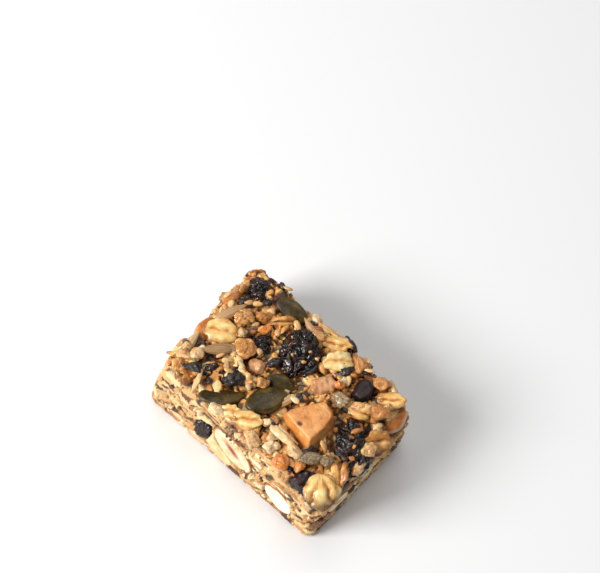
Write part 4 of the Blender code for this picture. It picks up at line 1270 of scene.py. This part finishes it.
# Beige nut: duller and browner, with more of its skin left on.
beige_nut_surface = nut_surface("lightly_roasted_nut", "#c48550", "#e6b37f", "#8a5630", 0.6)

CHUNK_CORNERS = np.array(
    [
        (-0.50, -0.33), (-0.47, -0.12), (-0.02, 0.50), (0.42, 0.34), (0.50, 0.10), (0.46, -0.50),
        (0.12, -0.45),
    ],
)
CHUNK_OUTLINE = CHUNK_CORNERS * [11.0, 12.8]
NUT_ROUNDS = (90, 120)
ball = unit_ball(*NUT_ROUNDS)
chunk = hewn(ball, (12.2, 14.0, 5.6), walled(CHUNK_OUTLINE, 0.3, (-0.05, -0.02, 1, 2.5), 2.8), 26.0)
chunk = roughened(chunk, 0.14 * MM, 401)
spot = np.exp(-(np.linalg.norm((chunk[:, :2] / MM - [-0.4, -3.6]) / [0.75, 0.6], axis=1) ** 4))
spot *= chunk[:, 2] > 0
chunk[:, 2] -= 0.2 * MM * spot
lodged("nut_chunk_large", chunk, (0, 4, -5), NUT_ROUNDS, tan_nut_surface, "roast_nut", spot=spot)

CHIP_OUTLINE = np.array(
    [(-0.50, -0.20), (-0.28, 0.46), (0.24, 0.50), (0.50, 0.16), (0.38, -0.44), (-0.22, -0.50)]
)
chip = hewn(ball, (7.2, 4.8, 4.4), walled(CHIP_OUTLINE * [7.2, 4.8], 0.2, (0, 0, 1, 1.8), 2.2), 7.0)
chip = roughened(chip, 0.28 * MM, 411, 0.9, 3.0)
plain_skin = np.zeros(len(ball))
lodged("nut_chunk_beige", chip, (58, 0, 6), NUT_ROUNDS, beige_nut_surface, "pale_nut", spot=plain_skin)
pebble = roughened(ball * np.array([5.0, 4.2, 3.6]) * MM / 2, 0.2 * MM, 421, 1.2, 4.0)
lodged("nut_round", pebble, (29, 0, 0), NUT_ROUNDS, beige_nut_surface, "pale_nut", spot=plain_skin)

# Sliced nut: cream flesh with a tan skin round it, and a toasted hollow between its two halves.
cut_nut_surface, tree, shader = new_surface("sliced_nut_flesh")
own = add(tree, "Attribute", attribute_name="own").outputs["Vector"]
rim, cut, hollow, pale = [
    add(tree, "Attribute", attribute_name=name).outputs["Fac"]
    for name in ("rim", "cut", "hollow", "pale")
]
clouds = add(tree, "TexNoise", {"Vector": own, "Scale": 0.4, "Detail": 4.0})
grains = add(tree, "TexNoise", {"Vector": own, "Scale": 1.8, "Detail": 4.0})
cream = add(
    tree, "ValToRGB", {"Fac": clouds.outputs["Fac"]},
    [(0.3, "#d9a86c"), (0.45, "#ecc78e"), (0.62, "#f8e2b8")],
)
white = add(
    tree, "ValToRGB", {"Fac": clouds.outputs["Fac"]},
    [(0.3, "#f2dcb6"), (0.45, "#faecd2"), (0.6, "#fdf8ec")],
)
flesh = add(tree, "Mix", {0: pale, 6: cream.outputs[0], 7: white.outputs[0]}, data_type="RGBA")
skin_share = add(tree, "MapRange", {"Value": rim, "From Min": 0.86, "From Max": 1.0, "To Max": 0.8})
skinned = add(
    tree, "Mix", {0: skin_share.outputs[0], 6: flesh.outputs[2], 7: "#b98350"}, data_type="RGBA"
)
outside = add(tree, "Mix", {0: cut, 6: "#b27c46", 7: skinned.outputs[2]}, data_type="RGBA")
toasted = add(tree, "Mix", {0: hollow, 6: outside.outputs[2], 7: "#9a3a0c"}, data_type="RGBA")
grainy = add(
    tree, "Mix", {0: 0.25, 6: toasted.outputs[2], 7: grains.outputs["Fac"]}, data_type="RGBA",
    blend_type="SOFT_LIGHT",
)
relief = add(tree, "Bump", {"Height": grains.outputs["Fac"], "Strength": 0.4, "Distance": 0.12 * MM})
feed(
    shader,
    {
        "Base Color": grainy.outputs[2], "Normal": relief.outputs[0], "Roughness": 0.6,
        "Subsurface Weight": 0.25, "Subsurface Radius": (1.0, 0.6, 0.35), "Subsurface Scale": 0.8 * MM,
    },
)

# Sliced nuts: name, side, (length, depth, height), how far the middle is sunk, tilt, the half length
# and half height of the hollow, and how white the flesh is.
SLICED_NUTS = (
    ("cut_nut_long", "front", (15.2, 9.0, 9.0), 1.2, -30, (3.0, 1.1), 0.25),
    ("cut_nut_white", "front", (10.2, 7.4, 7.0), 1.0, -24, (0.0, 0.0), 1.0),
    ("cut_nut_back", "back", (12.0, 8.0, 7.0), 1.0, 16, (2.0, 0.6), 0.5),
    ("cut_nut_left", "left", (10.6, 7.4, 6.4), 1.0, 20, (0.0, 0.0), 0.3),
    ("cut_nut_right", "right", (8.4, 6.6, 5.4), 1.0, -18, (1.4, 0.5), 0.4),
)
SLICED_NUT_ROUNDS = (80, 100)
for number, (name, side, size, sunk, tilt, opening, whiteness) in enumerate(SLICED_NUTS):
    ball = unit_ball(*SLICED_NUT_ROUNDS)[:, [0, 2, 1]] * [1, -1, 1]
    form = roughened(ball * np.array(size) * MM / 2, 0.2 * MM, 430 + number, 3.0, 8.0)
    if max(opening):
        level, _ = sliced_flush(form[None], sunk * MM + CUT_PROUD)
        gap = np.linalg.norm(level[0][:, [0, 2]] / MM / np.array(opening), axis=1)
        hollow = np.exp(-(gap**3)) * (form[:, 1] < 0)
    else:
        hollow = np.zeros(len(form))
    fields = {"hollow": hollow, "pale": np.full(len(form), whiteness)}
    rounds = SLICED_NUT_ROUNDS
    sliced(name, form, side, sunk * MM, tilt, rounds, cut_nut_surface, "cut_nut", **fields)


# --- Pumpkin seeds --------------------------------------------------------------------------------
# Hulled pumpkin seeds, about 11 mm long: flat teardrops with a raised rim, under a thin olive skin
# that bakes to a satin brown-green.


def kernel_form(ball, size):
    """A flat teardrop, (m, 3): a ball narrowed towards +X, its faces domed by a power of the
    distance from the middle and stepped down just inside a rounded rim."""
    reach = np.hypot(ball[:, 0], ball[:, 1])
    narrow = 1 - 0.30 * np.clip(ball[:, 0], 0, 1) ** 1.5 - 0.06 * np.clip(-ball[:, 0], 0, 1)
    dome = 0.75 * (1 - reach**2.4) ** 0.5 + 0.25 * (1 - reach**12) ** 0.5
    groove = 0.05 * np.exp(-(((reach - 0.86) / 0.05) ** 2))
    form = np.stack([ball[:, 0], ball[:, 1] * narrow, np.sign(ball[:, 2]) * (dome - groove)], axis=1)
    return form * np.array(size) * MM / 2


# Pumpkin seed skin: thin, satin and olive, browned at the rim, with faint lengthwise veins and a
# dust of oat flour.
seed_skin, tree, shader = new_surface("pumpkin_seed_skin")
own = add(tree, "Attribute", attribute_name="own").outputs["Vector"]
rim = add(tree, "Attribute", attribute_name="rim").outputs["Fac"]
clouds = add(tree, "TexNoise", {"Vector": own, "Scale": 0.35, "Detail": 3.0})
veins_place = add(tree, "Mapping", {"Vector": own, "Scale": (0.25, 1.6, 1.0)})
veins = add(tree, "TexNoise", {"Vector": veins_place.outputs[0], "Scale": 1.6, "Detail": 5.0})
skin = add(
    tree, "ValToRGB", {"Fac": clouds.outputs["Fac"]},
    [(0.3, "#241b07"), (0.5, "#3f310e"), (0.7, "#614b1c")],
)
edge = add(tree, "MapRange", {"Value": rim, "From Min": 0.86, "From Max": 1.0, "To Max": 0.7})
edged = add(tree, "Mix", {0: edge.outputs[0], 6: skin.outputs[0], 7: "#6f5730"}, data_type="RGBA")
veined = add(
    tree, "Mix", {0: 0.5, 6: edged.outputs[2], 7: veins.outputs["Fac"]}, data_type="RGBA",
    blend_type="SOFT_LIGHT",
)
flour = add(tree, "TexNoise", {"Vector": own, "Scale": 2.6, "Detail": 4.0, "Roughness": 0.7})
flour_share = add(
    tree, "MapRange", {"Value": flour.outputs["Fac"], "From Min": 0.62, "From Max": 0.72, "To Max": 0.45},
)
floured = add(
    tree, "Mix", {0: flour_share.outputs[0], 6: veined.outputs[2], 7: "#c9b48a"}, data_type="RGBA"
)
relief = add(tree, "Bump", {"Height": veins.outputs["Fac"], "Strength": 0.3, "Distance": 0.12 * MM})
feed(
    shader,
    {
        "Base Color": floured.outputs[2], "Normal": relief.outputs[0], "Roughness": 0.4,
        "Specular IOR Level": 0.25, "Coat Weight": 0.15, "Coat Roughness": 0.15,
    },
)

PUMPKIN_SEEDS = (
    ("pumpkin_seed_edge", (11.8, 6.6, 2.3), (46, 0, -24)),
    ("pumpkin_seed_flat", (10.8, 7.0, 2.8), (62, 2, -6)),
    ("pumpkin_seed_mid", (7.8, 4.6, 2.3), (20, 0, 26)),
    ("pumpkin_seed_back", (10.4, 5.6, 2.3), (8, 0, 24)),
)
FINE_ROUNDS = (64, 90)
ball = unit_ball(*FINE_ROUNDS)
for name, size, angles in PUMPKIN_SEEDS:
    form = roughened(kernel_form(ball, size), 0.1 * MM, 451, 2.0, 6.0)
    lodged(name, form, angles, FINE_ROUNDS, seed_skin, "pumpkin_seed")
form = kernel_form(ball, (10.4, 5.0, 2.4))
sliced("pumpkin_seed_cut_back", form, "back", 0.4 * MM, 8, FINE_ROUNDS, seed_skin, "pumpkin_seed")


# --- Chocolate ------------------------------------------------------------------------------------
# Dark chocolate drops and chips that softened in the oven and set again: rounded corners and a low,
# even gloss, purple-brown where the syrup touched them.

chocolate_surface, tree, shader = new_surface("softened_dark_chocolate")
own = add(tree, "Attribute", attribute_name="own").outputs["Vector"]
clouds = add(tree, "TexNoise", {"Vector": own, "Scale": 0.5, "Detail": 4.0})
body = add(
    tree, "ValToRGB", {"Fac": clouds.outputs["Fac"]},
    [(0.35, "#190c0a"), (0.55, "#2c1614"), (0.75, "#472823")],
)
relief = add(tree, "Bump", {"Height": clouds.outputs["Fac"], "Strength": 0.3, "Distance": 0.3 * MM})
feed(
    shader,
    {
        "Base Color": body.outputs[0], "Normal": relief.outputs[0], "Roughness": 0.5,
        "Specular IOR Level": 0.35, "Coat Weight": 0.1, "Coat Roughness": 0.2,
    },
)

chip = hewn(ball, (7.4, 6.2, 5.2), walled(CHIP_OUTLINE * [7.4, 6.2], 0.25, (0, 0, 1, 2.2), 2.6), 6.0)
chip = roughened(chip, 0.2 * MM, 461, 1.5, 5.0)
lodged("chocolate_right", chip, (-75, 0, 0), FINE_ROUNDS, chocolate_surface, "chocolate")
chip = hewn(ball, (8.0, 5.2, 5.0), walled(CHIP_OUTLINE * [8.0, 5.2], 0.2, (0, 0, 1, 2.2), 2.5), 9.0)
chip = roughened(chip, 0.4 * MM, 471, 1.0, 3.5)
lodged("chocolate_front", chip, (30, 6, 14), FINE_ROUNDS, chocolate_surface, "chocolate")
chip = hewn(ball, (7.0, 5.0, 4.2), walled(CHIP_OUTLINE * [7.0, 5.0], 0.2, (0, 0, 1, 1.9), 2.1), 9.0)
sliced("chocolate_cut_back", chip, "back", 0.6 * MM, 10, FINE_ROUNDS, chocolate_surface, "chocolate")


# --- Apricots -------------------------------------------------------------------------------------
# Strips of dried apricot pressed into the edge of the top before baking: amber, leathery and half
# clear, with soft creases.

apricot_surface, tree, shader = new_surface("dried_apricot")
own = add(tree, "Attribute", attribute_name="own").outputs["Vector"]
clouds = add(tree, "TexNoise", {"Vector": own, "Scale": 0.4, "Detail": 3.0})
body = add(
    tree, "ValToRGB", {"Fac": clouds.outputs["Fac"]},
    [(0.3, "#a4571c"), (0.5, "#c4782e"), (0.7, "#dd9a49")],
)
relief = add(tree, "Bump", {"Height": clouds.outputs["Fac"], "Strength": 0.5, "Distance": 0.4 * MM})
feed(
    shader,
    {
        "Base Color": body.outputs[0], "Normal": relief.outputs[0], "Roughness": 0.3, "Coat Weight": 0.4,
        "Coat Roughness": 0.2, "Subsurface Weight": 0.4, "Subsurface Radius": (1.0, 0.4, 0.15),
        "Subsurface Scale": 1.2 * MM,
    },
)

for name, size, angles in (
    ("apricot_left", (9.0, 3.8, 4.6), (-80, 0, -20)), ("apricot_right", (8.6, 4.4, 5.8), (84, 0, -20)),
):
    form = roughened(ball * np.array(size) * MM / 2, 0.25 * MM, 481, 2.5, 6.0)
    lodged(name, form, angles, FINE_ROUNDS, apricot_surface, "apricot")


# --- Floor, light and camera ----------------------------------------------------------------------
# A white laminate table in a pale room, under a soft lamp from the front left and a larger, weaker
# one above and a little behind.

floor_surface, tree, shader = new_surface("white_laminate")
feed(shader, {"Base Color": linear("#f7f7f7"), "Roughness": 0.6})
FLOOR_HALF = 1.5
floor_points = np.array([[-1, -1, 0], [1, -1, 0], [1, 1, 0], [-1, 1, 0]]) * FLOOR_HALF
floor = bpy.data.objects.new("table_top", bpy.data.meshes.new("table_top"))
floor.data.from_pydata(floor_points.tolist(), [], [(0, 1, 2, 3)])
floor.data.materials.append(floor_surface)
bpy.context.scene.collection.objects.link(floor)

world = bpy.data.worlds.new("white_room")
bpy.context.scene.world = world
world.use_nodes = True
world.node_tree.nodes["Background"].inputs["Color"].default_value = (1, 1, 1, 1)
world.node_tree.nodes["Background"].inputs["Strength"].default_value = 0.2


def new_lamp(name, towards, distance, width, power):
    """A square soft lamp in the given direction from the square, facing it."""
    light = bpy.data.lights.new(name, "AREA")
    light.size = width
    light.energy = power
    lamp = bpy.data.objects.new(name, light)
    direction = Vector(towards).normalized()
    lamp.location = direction * distance
    lamp.rotation_euler = direction.to_track_quat("Z", "Y").to_euler()
    bpy.context.scene.collection.objects.link(lamp)


# Each lamp's direction, its distance and width in metres, and its power in watts.
new_lamp("key_lamp", (-0.5, -0.8, 0.65), 0.9, 0.4, 9.4)
new_lamp("fill_lamp", (-0.2, 0.35, 1.0), 1.0, 0.8, 3.4)

AIM = Vector((-17.7, 26.5, 10.5)) * MM
DISTANCE = 428 * MM
AZIMUTH, ELEVATION, ROLL = 24.98, 62.24, 18.75
camera = bpy.data.objects.new("camera", bpy.data.cameras.new("camera"))
camera.data.lens = 100
camera.data.clip_start = 0.01
camera.matrix_world = (
    Matrix.Translation(AIM)
    @ Matrix.Rotation(math.radians(AZIMUTH), 4, "Z")
    @ Matrix.Rotation(math.radians(90 - ELEVATION), 4, "X")
    @ Matrix.Rotation(math.radians(ROLL), 4, "Z")
    @ Matrix.Translation((0, 0, DISTANCE))
)
bpy.context.scene.collection.objects.link(camera)
bpy.context.scene.camera = camera
bpy.context.scene.view_settings.view_transform = "Standard"
